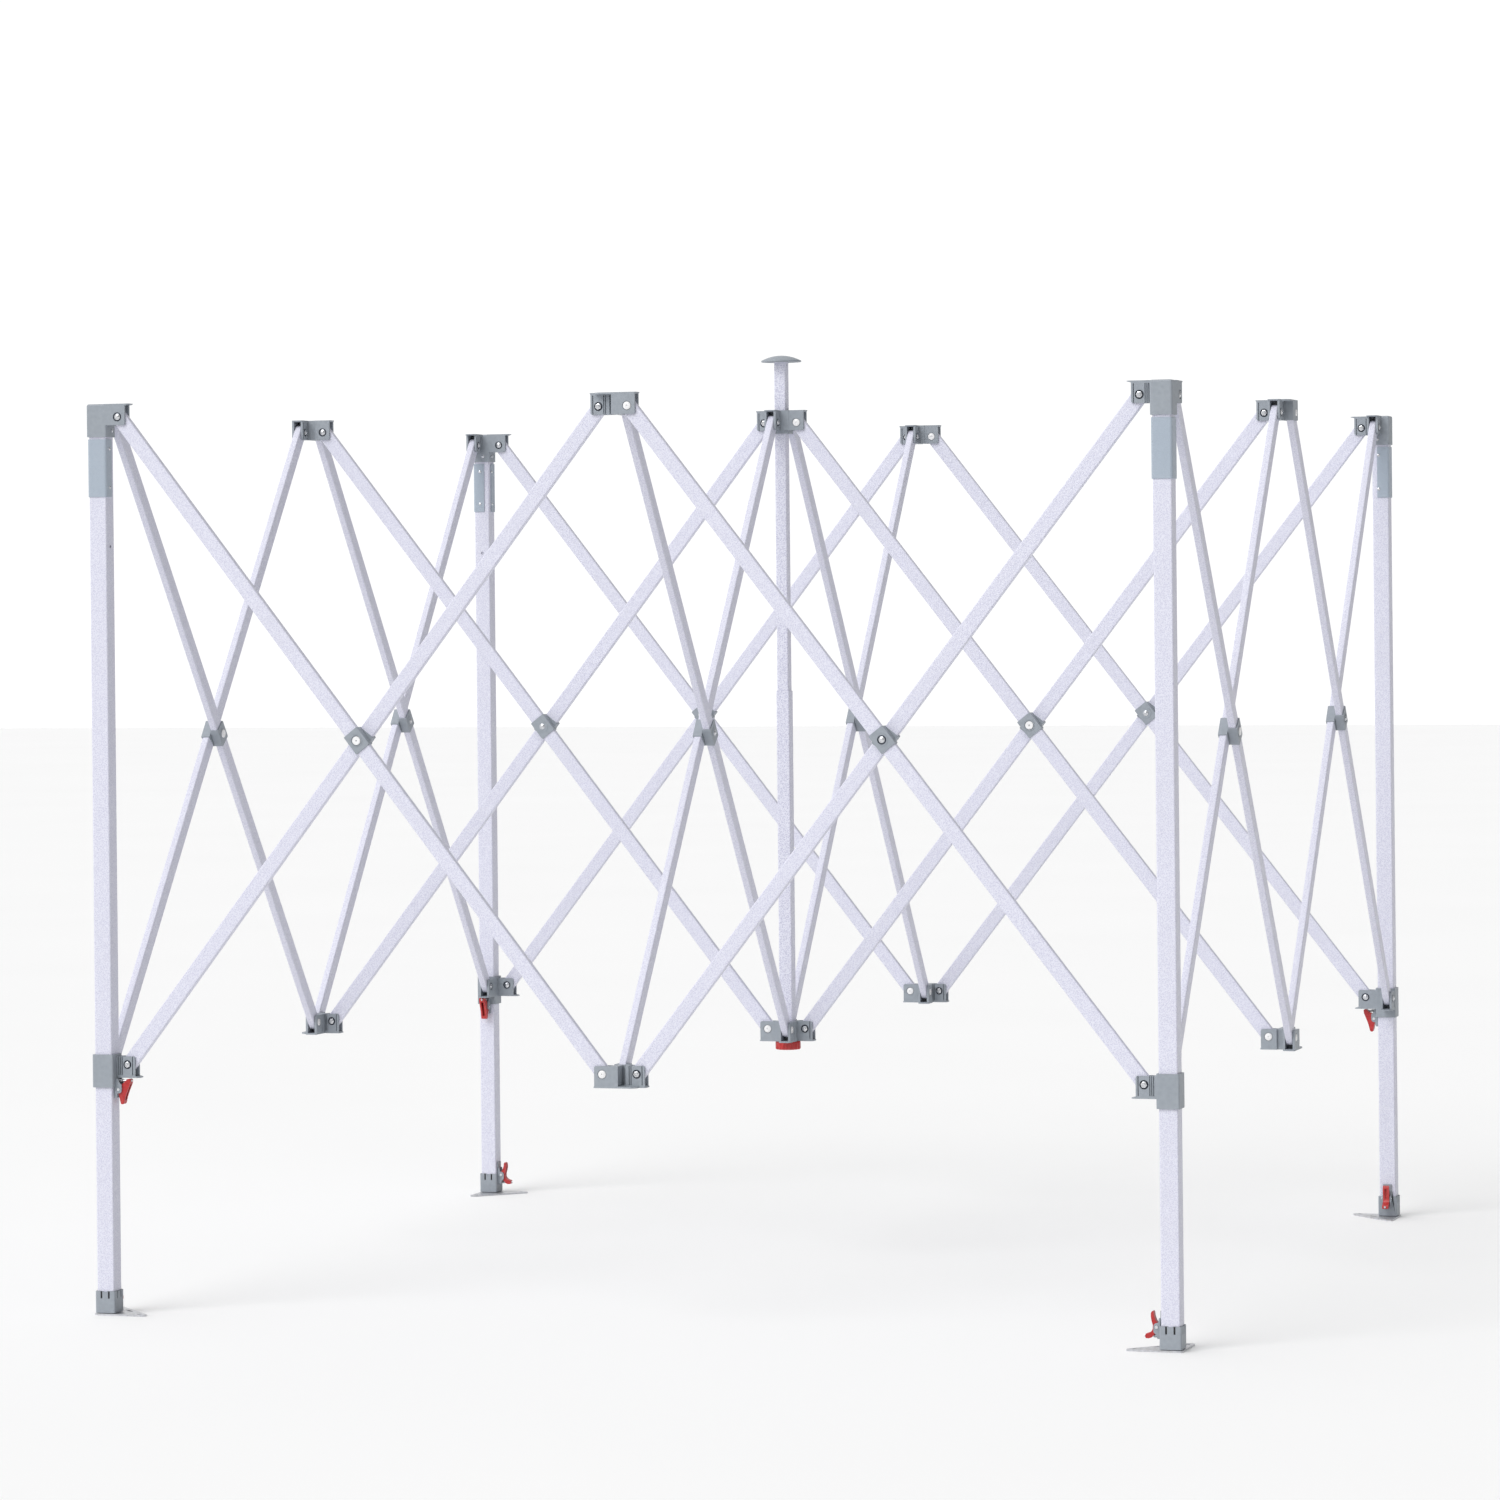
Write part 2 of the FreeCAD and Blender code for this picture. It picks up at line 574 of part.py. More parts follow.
def slider_lever():
    pivot_z = LOW_Z - SLIDER_PIN_DROP - LOCK_PIN_RISE
    return [moved(s, 0, 0, pivot_z) for s in lever(LEG_TUBE / 2)]


def foot_lever():
    upright = [flipped(s) for s in lever(INNER_TUBE / 2)]
    return [moved(quarter(s, 1), 0, 0, FOOT_LEVER_Z) for s in upright]


# --- slider --------------------------------------------------------------
def slider():
    """Sleeve that runs on the leg, with two forks and the lever's cheeks."""
    bore = LEG_TUBE / 2 + SLIDER_GAP
    core = square(bore + BRACKET_WALL, (-SLIDER_BELOW, SLIDER_ABOVE))
    bracket = Bracket(core, False)
    back = CORNER_PIVOT - bore - BRACKET_WALL + 1
    bracket.add_fork(0, CORNER_PIVOT, PLANE, back, 1, FLANGE_LIP)
    bracket.add_fork(1, -PLANE, CORNER_PIVOT, back, -1, FLANGE_LIP)
    pivot_z = -SLIDER_PIN_DROP - LOCK_PIN_RISE
    bracket.body = bracket.body.fuse(moved(lever_ears(), 0, 0, pivot_z))
    room = square(bore, (-2 * SLIDER_BELOW, 2 * SLIDER_ABOVE))
    window = lever_window(-SLIDER_PIN_DROP, LEG_TUBE / 4)
    finished = bracket.solids(LOW_Z, [room, window])
    return finished + [moved(lever_pivot(), 0, 0, LOW_Z + pivot_z)]


# --- inner leg and foot plate --------------------------------------------
def foot_plate():
    """Blunted right triangle with its corner outside and three holes."""
    corner = -(LEG_TUBE / 2 + COLLAR_WALL + PLATE_MARGIN)
    far = corner + PLATE_EDGE
    tip = corner + PLATE_TIP
    outline = [(corner, corner), (far, corner), (far, tip), (tip, far), (corner, far)]
    plate = prism([vec(x, y, 0) for x, y in outline], vec(0, 0, PLATE))
    stake = far - STAKE_INSET
    line = corner + STAKE_LINE
    holes = []
    for x, y in ((stake, line), (line, stake)):
        holes.append(rod(STAKE_HOLE_R, vec(x, y, -1), vec(x, y, PLATE + 1)))
    middle = (far + tip) / 2 - SLOT_INSET
    slot = box((-SLOT_LENGTH / 2, SLOT_LENGTH / 2), (-SLOT_WIDTH / 2, SLOT_WIDTH / 2), (-1, PLATE + 1))
    slot.rotate(vec(0, 0, 0), vec(0, 0, 1), -45)
    return plate.cut(holes + [moved(slot, middle, middle, 0)])


def inner_leg():
    top = TUBE_TOP_Z - INNER_HEADROOM
    body = tube(INNER_TUBE, INNER_TUBE, INNER_WALL, (PLATE, top))
    holes = []
    for step in range(HOLE_COUNT):
        z = FOOT_PIN_HEIGHT + step * HOLE_PITCH
        holes.append(rod(LOCK_HOLE_R, vec(0, 0, z), vec(0, INNER_TUBE, z)))
    guide_half = LEG_TUBE / 2 - LEG_WALL - GUIDE_GAP
    guide = square(guide_half, (top, top + GUIDE_HEIGHT))
    return [body.cut(holes), guide, foot_plate()]


# --- the four corners and the whole frame --------------------------------
def corner_nodes():
    """Nodes of the front left corner, in the leg's own axes."""
    pins = [quarter(moved(lever_pivot(), 0, 0, FOOT_LEVER_Z), 1)]
    leg = [outer_leg(), collar()] + corner_bracket() + corner_screws() + wrap() + pins
    return {
        "leg": leg,
        "slider": slider(),
        "inner_leg": inner_leg(),
        "slider_lever": slider_lever(),
        "foot_lever": foot_lever(),
    }


def frame_nodes():
    """Every node of the frame by name, as a list of solids in place."""
    nodes = {
        "hub_top": top_hub(),
        "hub_bottom": bottom_hub(),
        "pole_lower": lower_pole(),
        "pole_upper": upper_pole(),
        "pole_cap": pole_cap(),
        "pole_knob": pole_knob(),
    }
    side_set = {f"truss_{{}}_{kind}": solids for kind, solids in {**side_bars(), **inner_bars()}.items()}
    side_set["mid_bracket_top_{}"] = side_bracket(True)
    side_set["mid_bracket_bottom_{}"] = side_bracket(False)
    corner_set = {}
    for kind, solids in corner_nodes().items():
        corner_set[kind + "_{}"] = [moved(s, -HALF_SIDE, -HALF_SIDE, 0) for s in solids]
    for turns in range(4):
        for pattern, solids in side_set.items():
            nodes[pattern.format(SIDES[turns])] = [quarter(s, turns) for s in solids]
        for pattern, solids in corner_set.items():
            nodes[pattern.format(CORNERS[turns])] = [quarter(s, turns) for s in solids]
    return nodes


def main():
    os.makedirs("parts", exist_ok=True)
    for name, solids in frame_nodes().items():
        Part.makeCompound(solids).exportStep(f"parts/{name}.step")


main()
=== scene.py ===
"""Looks of a folding canopy frame: coated tubes, moulded brackets, levers and bands.

Shapes are drawn in millimetres, once for the front side and the front left
corner, and turned by quarter turns about Z.  Finished pieces are in metres.
"""

import json
import logging
import math
from dataclasses import dataclass, field
from enum import Enum
from typing import Iterable, Sequence

import bmesh
import bpy
from mathutils import Matrix, Vector

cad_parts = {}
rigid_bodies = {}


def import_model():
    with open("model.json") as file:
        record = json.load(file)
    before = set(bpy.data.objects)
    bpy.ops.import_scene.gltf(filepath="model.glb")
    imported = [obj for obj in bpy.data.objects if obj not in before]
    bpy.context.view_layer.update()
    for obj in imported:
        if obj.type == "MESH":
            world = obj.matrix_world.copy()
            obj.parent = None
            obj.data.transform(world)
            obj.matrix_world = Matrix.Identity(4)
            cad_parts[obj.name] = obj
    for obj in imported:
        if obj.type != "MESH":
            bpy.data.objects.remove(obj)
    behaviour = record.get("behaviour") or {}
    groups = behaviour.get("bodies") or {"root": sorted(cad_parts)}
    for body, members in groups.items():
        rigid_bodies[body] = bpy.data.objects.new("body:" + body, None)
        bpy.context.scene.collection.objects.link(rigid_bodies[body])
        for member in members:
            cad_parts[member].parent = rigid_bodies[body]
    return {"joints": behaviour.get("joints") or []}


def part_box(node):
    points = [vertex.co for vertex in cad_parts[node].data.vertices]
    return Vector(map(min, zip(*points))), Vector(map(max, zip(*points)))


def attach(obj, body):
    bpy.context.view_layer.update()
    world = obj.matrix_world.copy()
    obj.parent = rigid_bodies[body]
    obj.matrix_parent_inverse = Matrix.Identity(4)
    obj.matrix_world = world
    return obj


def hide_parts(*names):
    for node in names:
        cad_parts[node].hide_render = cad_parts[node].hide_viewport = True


for left_over in list(bpy.data.objects):
    bpy.data.objects.remove(left_over)
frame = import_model()

LOG = logging.getLogger("canopy_frame")
MILLIMETRE = 0.001
QUARTER = math.pi / 2
SIDES = ("front", "right", "back", "left")
CORNERS = ("front_left", "front_right", "back_right", "back_left")
STAGE_HALF = 40.0
Point = tuple[float, float]
Span = tuple[float, float]


class Axis(Enum):
    """The axis that a prism is swept along."""

    X = 0
    Y = 1
    Z = 2


class Slot(Enum):
    """Material slots of the record; each part of a corner lists one, but nothing reads it."""

    STEEL = "white_steel"
    GREY = "grey_plastic"
    RED = "red_plastic"


class Head(Enum):
    """Kinds of fastener that show on the outside, and a dark disc that paints the shade at the bottom of
    their recesses.
    """

    WASHER = "washer_head"
    NUT = "hex_nut"
    BOLT_END = "bolt_end"
    DISC = "disc_head"
    RIVET = "rivet_head"
    SCREW = "screw_head"
    # painted shade: a dark disc that stands in for the shadow at the bottom of a recess
    SEAT = "washer_seat"


# --- layout --------------------------------------------------------------
def joint_place(name: str) -> Vector:
    """Place of a joint's axis, in millimetres."""
    found = next(j for j in frame["joints"] if j["name"] == name)
    return Vector(found["pos_m"]) / MILLIMETRE


@dataclass(frozen=True)
class Layout:
    """Pivots and heights in millimetres, for the front side and its left corner.

    Args:
        plane: a bar's middle plane, from the middle plane of its crossing.
        half_side: leg's centre from the frame's centre, along X and Y.
        corner: pivots of a corner bracket or slider, from the leg's centre.
        middle: pivots of a side bracket, from the side's middle.
        inner: inner pivot of a side bracket, from the line of the legs.
        hub: pivots of the hubs, from the frame's centre.
        top: height of the upper pivots.
        low: height of the lower pivots.
    """

    plane: float
    half_side: float
    corner: float
    middle: float
    inner: float
    hub: float
    top: float
    low: float

    @classmethod
    def from_frame(cls) -> "Layout":
        """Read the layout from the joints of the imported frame."""
        hub = joint_place("fold")
        leg = joint_place("front_left_down_to_leg")
        side = joint_place("front_mid_bottom_to_left_down")
        inner = joint_place("front_inner_low_to_mid_top")
        plane = -hub.x
        half = -leg.y - plane
        return cls(plane, half, half + leg.x, -side.x, inner.y + half, -hub.y, hub.z, side.z)

    @property
    def bar_length(self) -> float:
        """Distance between the end pivots of a bar."""
        return math.hypot(self.half_side - self.corner - self.middle, self.top - self.low)

    @property
    def slope(self) -> float:
        """Angle of the bars to the floor, in radians."""
        return math.asin((self.top - self.low) / self.bar_length)


LAYOUT = Layout.from_frame()


def quarter(turns: int) -> Matrix:
    """Rotation about Z by a number of quarter turns."""
    return Matrix.Rotation(QUARTER * turns, 4, "Z")


def shift(x: float, y: float, z: float) -> Matrix:
    """Translation matrix."""
    return Matrix.Translation((x, y, z))


FLIP = Matrix.Scale(-1, 4, (0, 0, 1))


# --- solids --------------------------------------------------------------
def evaluated(obj: bpy.types.Object) -> bpy.types.Mesh:
    """Plain mesh of an object with its modifiers applied."""
    graph = bpy.context.evaluated_depsgraph_get()
    return bpy.data.meshes.new_from_object(obj.evaluated_get(graph), depsgraph=graph)


def new_object(name: str, data: bpy.types.ID) -> bpy.types.Object:
    """Object in the scene.

    Args:
        name: the object's name.
        data: its mesh, lamp or camera.

    Returns:
        The new object.
    """
    obj = bpy.data.objects.new(name, data)
    bpy.context.scene.collection.objects.link(obj)
    return obj


def bench_object(mesh: bpy.types.Mesh) -> bpy.types.Object:
    """Temporary object, to hang modifiers on."""
    return new_object("bench", mesh)


def polar(radius: float, angle: float, centre: Point = (0.0, 0.0)) -> Point:
    """Point at a radius and an angle from a centre."""
    return centre[0] + radius * math.cos(angle), centre[1] + radius * math.sin(angle)


def span(side: int, near: float, far: float) -> list[float]:
    """Two distances to one side of a middle plane, -1 or 1, as rising limits."""
    return sorted((side * near, side * far))


class Solid:
    """A closed shape in millimetres."""

    def __init__(self, mesh: bpy.types.Mesh) -> None:
        """Hold a mesh that nothing else uses."""
        self.mesh = mesh

    @classmethod
    def from_work(cls, work: bmesh.types.BMesh) -> "Solid":
        """Finish a bmesh, with its faces looking outwards.

        Args:
            work: the bmesh, which is used up.

        Returns:
            The solid.
        """
        bmesh.ops.recalc_face_normals(work, faces=work.faces)
        mesh = bpy.data.meshes.new("solid")
        work.to_mesh(mesh)
        work.free()
        return cls(mesh)

    @classmethod
    def lofted(cls, loops: Sequence[Sequence[Sequence[float]]], closed: bool = False) -> "Solid":
        """Skin over rings of points with the same count each.

        Args:
            loops: rings of points, in order along the shape.
            closed: True joins the last ring to the first, False caps both ends.

        Returns:
            The closed solid.
        """
        work = bmesh.new()
        rings = [[work.verts.new(p) for p in loop] for loop in loops]
        count = len(rings[0])
        pairs = list(zip(rings, rings[1:]))
        if closed:
            pairs.append((rings[-1], rings[0]))
        for low, high in pairs:
            for i in range(count):
                j = (i + 1) % count
                work.faces.new((low[i], low[j], high[j], high[i]))
        if not closed:
            work.faces.new(rings[0])
            work.faces.new(rings[-1])
        return cls.from_work(work)

    @classmethod
    def prism(cls, outline: Sequence[Point], low: float, high: float, axis: Axis) -> "Solid":
        """Outline swept along an axis.

        Args:
            outline: its points, as the other two coordinates in order.
            low: where the sweep starts.
            high: where it ends.
            axis: the axis that it runs along.

        Returns:
            The solid.
        """
        loops = []
        for level in (low, high):
            loop = []
            for first, second in outline:
                point = [first, second]
                point.insert(axis.value, level)
                loop.append(point)
            loops.append(loop)
        return cls.lofted(loops)

    @classmethod
    def ring(cls, outer: Sequence[Point], inner: Sequence[Point], low: float, high: float) -> "Solid":
        """Tube along Z between two outlines with the same count of points.

        Args:
            outer: outline of the outside.
            inner: outline of the bore.
            low: height of the lower end.
            high: height of the upper end.

        Returns:
            The solid.
        """
        loops = []
        for outline, level in ((outer, low), (outer, high), (inner, high), (inner, low)):
            loops.append([(x, y, level) for x, y in outline])
        return cls.lofted(loops, closed=True)

    @classmethod
    def box(cls, xs: Span, ys: Span, zs: Span) -> "Solid":
        """Box between three pairs of limits."""
        outline = [(xs[0], ys[0]), (xs[1], ys[0]), (xs[1], ys[1]), (xs[0], ys[1])]
        return cls.prism(outline, *zs, Axis.Z)

    @classmethod
    def rod(
        cls, radius: float, centre: Point, low: float, high: float, axis: Axis, sides: int = 40
    ) -> "Solid":
        """Round bar along an axis.

        Args:
            radius: its radius.
            centre: its centre, as the other two coordinates in order.
            low: where it starts.
            high: where it ends.
            axis: the axis that it runs along.
            sides: count of flats.

        Returns:
            The solid.
        """
        points = [polar(radius, math.tau * (step + 0.5) / sides, centre) for step in range(sides)]
        return cls.prism(points, low, high, axis)

    @classmethod
    def turned(cls, profile: Sequence[Point], sides: int = 48) -> "Solid":
        """Profile spun about Z.

        Args:
            profile: radius and height of its points, first and last on the axis.
            sides: count of steps round the axis.

        Returns:
            The solid.
        """
        work = bmesh.new()
        ends = [work.verts.new((0, 0, profile[0][1])), work.verts.new((0, 0, profile[-1][1]))]
        rings = []
        for radius, height in profile[1:-1]:
            points = [polar(radius, math.tau * step / sides) for step in range(sides)]
            rings.append([work.verts.new((*point, height)) for point in points])
        for low, high in zip(rings, rings[1:]):
            for i in range(sides):
                j = (i + 1) % sides
                work.faces.new((low[i], low[j], high[j], high[i]))
        for centre, ring in zip(ends, (rings[0], rings[-1])):
            for i in range(sides):
                work.faces.new((centre, ring[i], ring[(i + 1) % sides]))
        return cls.from_work(work)

    def placed(self, matrix: Matrix) -> "Solid":
        """Copy moved by a matrix, still looking outwards if it is mirrored.

        Args:
            matrix: the move.

        Returns:
            The copy.
        """
        mesh = self.mesh.copy()
        mesh.transform(matrix)
        if matrix.determinant() < 0:
            mesh.flip_normals()
        return Solid(mesh)

    def _combined(self, others: Iterable["Solid"], operation: str) -> "Solid":
        """This solid after a boolean with each of the others.

        Args:
            others: the solids to combine with.
            operation: the boolean modifier's name for it.

        Returns:
            The new solid.
        """
        base = bench_object(self.mesh.copy())
        tools = [bench_object(other.mesh) for other in others]
        for tool in tools:
            step = base.modifiers.new("combine", "BOOLEAN")
            step.operation = operation
            step.solver = "EXACT"
            step.object = tool
        result = Solid(evaluated(base))
        for obj in (base, *tools):
            bpy.data.objects.remove(obj)
        return result

    def joined(self, *others: "Solid") -> "Solid":
        """Union with other solids."""
        return self._combined(others, "UNION")

    def cut(self, *others: "Solid") -> "Solid":
        """This solid less other solids."""
        return self._combined(others, "DIFFERENCE")

    def beside(self, *others: "Solid") -> "Solid":
        """Separate solids held as one mesh.

        Args:
            others: the solids to hold together with this one.

        Returns:
            One solid of several shells.
        """
        work = bmesh.new()
        for solid in (self, *others):
            work.from_mesh(solid.mesh)
        mesh = bpy.data.meshes.new("set")
        work.to_mesh(mesh)
        work.free()
        return Solid(mesh)

    def eased(self, width: float, segments: int = 2, angle: float = 40.0) -> "Solid":
        """Edges sharper than angle rounded over.

        Args:
            width: width of the rounding.
            segments: its count of steps.
            angle: sharpness in degrees that an edge needs.

        Returns:
            The rounded solid.
        """
        obj = bench_object(self.mesh.copy())
        flat = obj.modifiers.new("flat", "DECIMATE")
        flat.decimate_type = "DISSOLVE"
        flat.angle_limit = math.radians(1.0)
        bevel = obj.modifiers.new("ease", "BEVEL")
        bevel.width = width
        bevel.segments = segments
        bevel.limit_method = "ANGLE"
        bevel.angle_limit = math.radians(angle)
        bevel.use_clamp_overlap = True
        result = Solid(evaluated(obj))
        bpy.data.objects.remove(obj)
        return result


def rounded(half_x: float, half_y: float, radius: float, steps: int = 4) -> list[Point]:
    """Outline of a rectangle with round corners, anticlockwise.

    Args:
        half_x: half its size along X.
        half_y: half its size along Y.
        radius: radius of its corners.
        steps: steps in each corner.

    Returns:
        The points.
    """
    points = []
    corners = ((1, 1), (-1, 1), (-1, -1), (1, -1))
    for index, (side_x, side_y) in enumerate(corners):
        for step in range(steps + 1):
            centre = (side_x * (half_x - radius), side_y * (half_y - radius))
            points.append(polar(radius, QUARTER * (index + step / steps), centre))
    return points


def square(half: float, zs: Span) -> Solid:
    """Square block about the Z axis."""
    return Solid.box((-half, half), (-half, half), zs)


# --- finishes ------------------------------------------------------------
Feed = float | str | tuple | bpy.types.NodeSocket


def add_node(
    tree: bpy.types.NodeTree, kind: str, feeds: dict[str | int, Feed] | None = None, **settings: object
) -> bpy.types.Node:
    """Add a node to a tree.

    Args:
        tree: the tree that takes the node.
        kind: the node's type name.
        feeds: input names or indices, each with a constant or a socket to link.
        settings: properties of the node itself.

    Returns:
        The new node.
    """
    node = tree.nodes.new(kind)
    for key, value in settings.items():
        setattr(node, key, value)
    for key, value in (feeds or {}).items():
        if isinstance(value, bpy.types.NodeSocket):
            tree.links.new(value, node.inputs[key])
        else:
            node.inputs[key].default_value = value
    return node


def new_group(
    name: str, kind: str, inputs: dict[str, tuple[str, object]], outputs: dict[str, str]
) -> tuple[bpy.types.NodeTree, bpy.types.Node, bpy.types.Node]:
    """Empty node group with named sockets.

    Args:
        name: the group's name.
        kind: tree type, for shaders or for geometry.
        inputs: socket name to its type and default value, None for no default.
        outputs: socket name to its type.

    Returns:
        The tree, its input node and its output node.
    """
    tree = bpy.data.node_groups.new(name, kind)
    for label, (socket_type, default) in inputs.items():
        socket = tree.interface.new_socket(name=label, in_out="INPUT", socket_type=socket_type)
        if default is not None:
            socket.default_value = default
    for label, socket_type in outputs.items():
        tree.interface.new_socket(name=label, in_out="OUTPUT", socket_type=socket_type)
    return tree, tree.nodes.new("NodeGroupInput"), tree.nodes.new("NodeGroupOutput")


FLOAT, VECTOR = "NodeSocketFloat", "NodeSocketVector"


class SharedEffects:
    """Shader groups that more than one finish uses."""

    def __init__(self) -> None:
        """Build each group once."""
        self.mottle = self._mottle()
        self.grain = self._grain()
        self.handling = self._handling()

    @staticmethod
    def _mottle() -> bpy.types.NodeTree:
        """Uneven cells, as in hammertone paint or spangled zinc.

        Returns:
            Group with a mask of the cells and their height.
        """
        inputs = {"Vector": (VECTOR, None), "Scale": (FLOAT, 280.0), "Contrast": (FLOAT, 1.0)}
        outputs = {"Mask": FLOAT, "Height": FLOAT}
        tree, source, target = new_group("mottled_cells", "ShaderNodeTree", inputs, outputs)
        place = source.outputs["Vector"]
        warp = add_node(tree, "ShaderNodeTexNoise", {"Vector": place, "Scale": 190.0, "Detail": 2.0})
        feeds = {0: warp.outputs[1], 1: (0.004, 0.004, 0.004)}
        offset = add_node(tree, "ShaderNodeVectorMath", feeds, operation="MULTIPLY")
        bent = add_node(tree, "ShaderNodeVectorMath", {0: place, 1: offset.outputs[0]}, operation="ADD")
        feeds = {"Vector": bent.outputs[0], "Scale": source.outputs["Scale"]}
        cells = add_node(tree, "ShaderNodeTexVoronoi", feeds, feature="F1")
        feeds = {0: cells.outputs["Distance"], 1: source.outputs["Contrast"]}
        spread = add_node(tree, "ShaderNodeMath", feeds, operation="MULTIPLY", use_clamp=True)
        limits = {"From Min": 0.12, "From Max": 0.7, "To Min": 1.0, "To Max": 0.0}
        ramp = add_node(tree, "ShaderNodeMapRange", {"Value": spread.outputs[0], **limits})
        tree.links.new(ramp.outputs[0], target.inputs["Mask"])
        tree.links.new(cells.outputs["Distance"], target.inputs["Height"])
        return tree

    @staticmethod
    def _grain() -> bpy.types.NodeTree:
        """Fine even grain of moulded or blasted surfaces.

        Returns:
            Group with the grain's height.
        """
        inputs = {"Vector": (VECTOR, None), "Scale": (FLOAT, 1500.0)}
        tree, source, target = new_group("fine_grain", "ShaderNodeTree", inputs, {"Height": FLOAT})
        feeds = {"Vector": source.outputs["Vector"], "Scale": source.outputs["Scale"], "Detail": 3.0}
        noise = add_node(tree, "ShaderNodeTexNoise", feeds)
        tree.links.new(noise.outputs[0], target.inputs["Height"])
        return tree

    @staticmethod
    def _handling() -> bpy.types.NodeTree:
        """Broad patches broken up by small marks, where hands and ground have rubbed.

        Returns:
            Group with a mask of the marks.
        """
        inputs = {"Vector": (VECTOR, None), "Amount": (FLOAT, 0.5)}
        tree, source, target = new_group("handling_marks", "ShaderNodeTree", inputs, {"Mask": FLOAT})
        place = source.outputs["Vector"]
        broad = add_node(tree, "ShaderNodeTexNoise", {"Vector": place, "Scale": 9.0, "Detail": 3.0})
        small = add_node(tree, "ShaderNodeTexNoise", {"Vector": place, "Scale": 160.0, "Detail": 5.0})
        feeds = {0: broad.outputs[0], 1: small.outputs[0]}
        both = add_node(tree, "ShaderNodeMath", feeds, operation="MULTIPLY")
        feeds = {"Value": both.outputs[0], "From Min": 0.22, "From Max": 0.42}
        ramp = add_node(tree, "ShaderNodeMapRange", feeds)
        feeds = {0: ramp.outputs[0], 1: source.outputs["Amount"]}
        scaled = add_node(tree, "ShaderNodeMath", feeds, operation="MULTIPLY")
        tree.links.new(scaled.outputs[0], target.inputs["Mask"])
        return tree


@dataclass(frozen=True)
class Finish:
    """A surface finish of one colour broken up by mottle, grain and handling.

    Args:
        name: material name.
        base: main colour.
        fleck: colour of the mottle's cells.
        worn: colour that handling marks tend to.
        roughness: lowest and highest roughness.
        metallic: metallic value, the same all over.
        coat: clear coat weight, the same all over.
        mottle: cells per metre, contrast and bump height in metres.
        grain: grain per metre and bump height in metres.
        wear: strength of the handling marks.
        sheen: sheen weight, the same all over.
    """

    name: str
    base: tuple[float, float, float]
    fleck: tuple[float, float, float]
    worn: tuple[float, float, float]
    roughness: Span = (0.4, 0.5)
    metallic: float = 0.0
    coat: float = 0.0
    mottle: tuple[float, float, float] = (280.0, 1.0, 0.0)
    grain: Span = (1500.0, 0.0)
    wear: float = 0.3
    sheen: float = 0.0

    def build(self, shared: SharedEffects) -> bpy.types.Material:
        """Make the material from the shared effects.

        Args:
            shared: the groups that it draws on.

        Returns:
            The material.
        """
        material = bpy.data.materials.new(self.name)
        material.use_nodes = True
        tree = material.node_tree
        shader = tree.nodes["Principled BSDF"]
        place = add_node(tree, "ShaderNodeTexCoord").outputs["Object"]
        cells, contrast, cell_height = self.mottle
        scale, grain_height = self.grain
        feeds = {"Vector": place, "Scale": cells, "Contrast": contrast}
        mottle = add_node(tree, "ShaderNodeGroup", feeds, node_tree=shared.mottle)
        feeds = {"Vector": place, "Scale": scale}
        grain = add_node(tree, "ShaderNodeGroup", feeds, node_tree=shared.grain)
        feeds = {"Vector": place, "Amount": self.wear}
        marks = add_node(tree, "ShaderNodeGroup", feeds, node_tree=shared.handling)
        tinted = self._mix(tree, mottle.outputs["Mask"], (*self.base, 1.0), (*self.fleck, 1.0))
        colour = self._mix(tree, marks.outputs["Mask"], tinted, (*self.worn, 1.0))
        tree.links.new(colour, shader.inputs["Base Color"])
        low, high = self.roughness
        feeds = {"Value": marks.outputs["Mask"], "To Min": low, "To Max": high}
        rough = add_node(tree, "ShaderNodeMapRange", feeds)
        tree.links.new(rough.outputs[0], shader.inputs["Roughness"])
        feeds = {"Height": grain.outputs["Height"], "Distance": grain_height, "Strength": 1.0}
        fine = add_node(tree, "ShaderNodeBump", feeds)
        feeds = {"Height": mottle.outputs["Height"], "Distance": cell_height, "Strength": 1.0}
        coarse = add_node(tree, "ShaderNodeBump", {**feeds, "Normal": fine.outputs[0]})
        tree.links.new(coarse.outputs[0], shader.inputs["Normal"])
        values = {"Metallic": self.metallic, "Coat Weight": self.coat, "Sheen Weight": self.sheen}
        for label, value in values.items():
            shader.inputs[label].default_value = value
        return material

    @staticmethod
    def _mix(tree: bpy.types.NodeTree, factor: Feed, first: Feed, second: Feed) -> bpy.types.NodeSocket:
        """Colour between two others."""
        node = add_node(tree, "ShaderNodeMix", {0: factor, 6: first, 7: second}, data_type="RGBA")
        return node.outputs[2]


@dataclass(frozen=True)
class FloorFinish:
    """Matt pale floor with faint broad clouds.

    Args:
        light: colour of the lighter clouds.
        dark: colour of the darker clouds.
    """

    light: tuple[float, float, float] = (0.95, 0.95, 0.95)
    dark: tuple[float, float, float] = (0.925, 0.925, 0.925)

    def build(self) -> bpy.types.Material:
        """Make the material.

        Returns:
            The material.
        """
        material = bpy.data.materials.new("pale_floor")
        material.use_nodes = True
        tree = material.node_tree
        shader = tree.nodes["Principled BSDF"]
        place = add_node(tree, "ShaderNodeTexCoord").outputs["Object"]
        clouds = add_node(tree, "ShaderNodeTexNoise", {"Vector": place, "Scale": 0.8, "Detail": 1.0})
        feeds = {0: clouds.outputs[0], 6: (*self.dark, 1.0), 7: (*self.light, 1.0)}
        shade = add_node(tree, "ShaderNodeMix", feeds, data_type="RGBA")
        tree.links.new(shade.outputs[2], shader.inputs["Base Color"])
        shader.inputs["Roughness"].default_value = 0.9
        return material


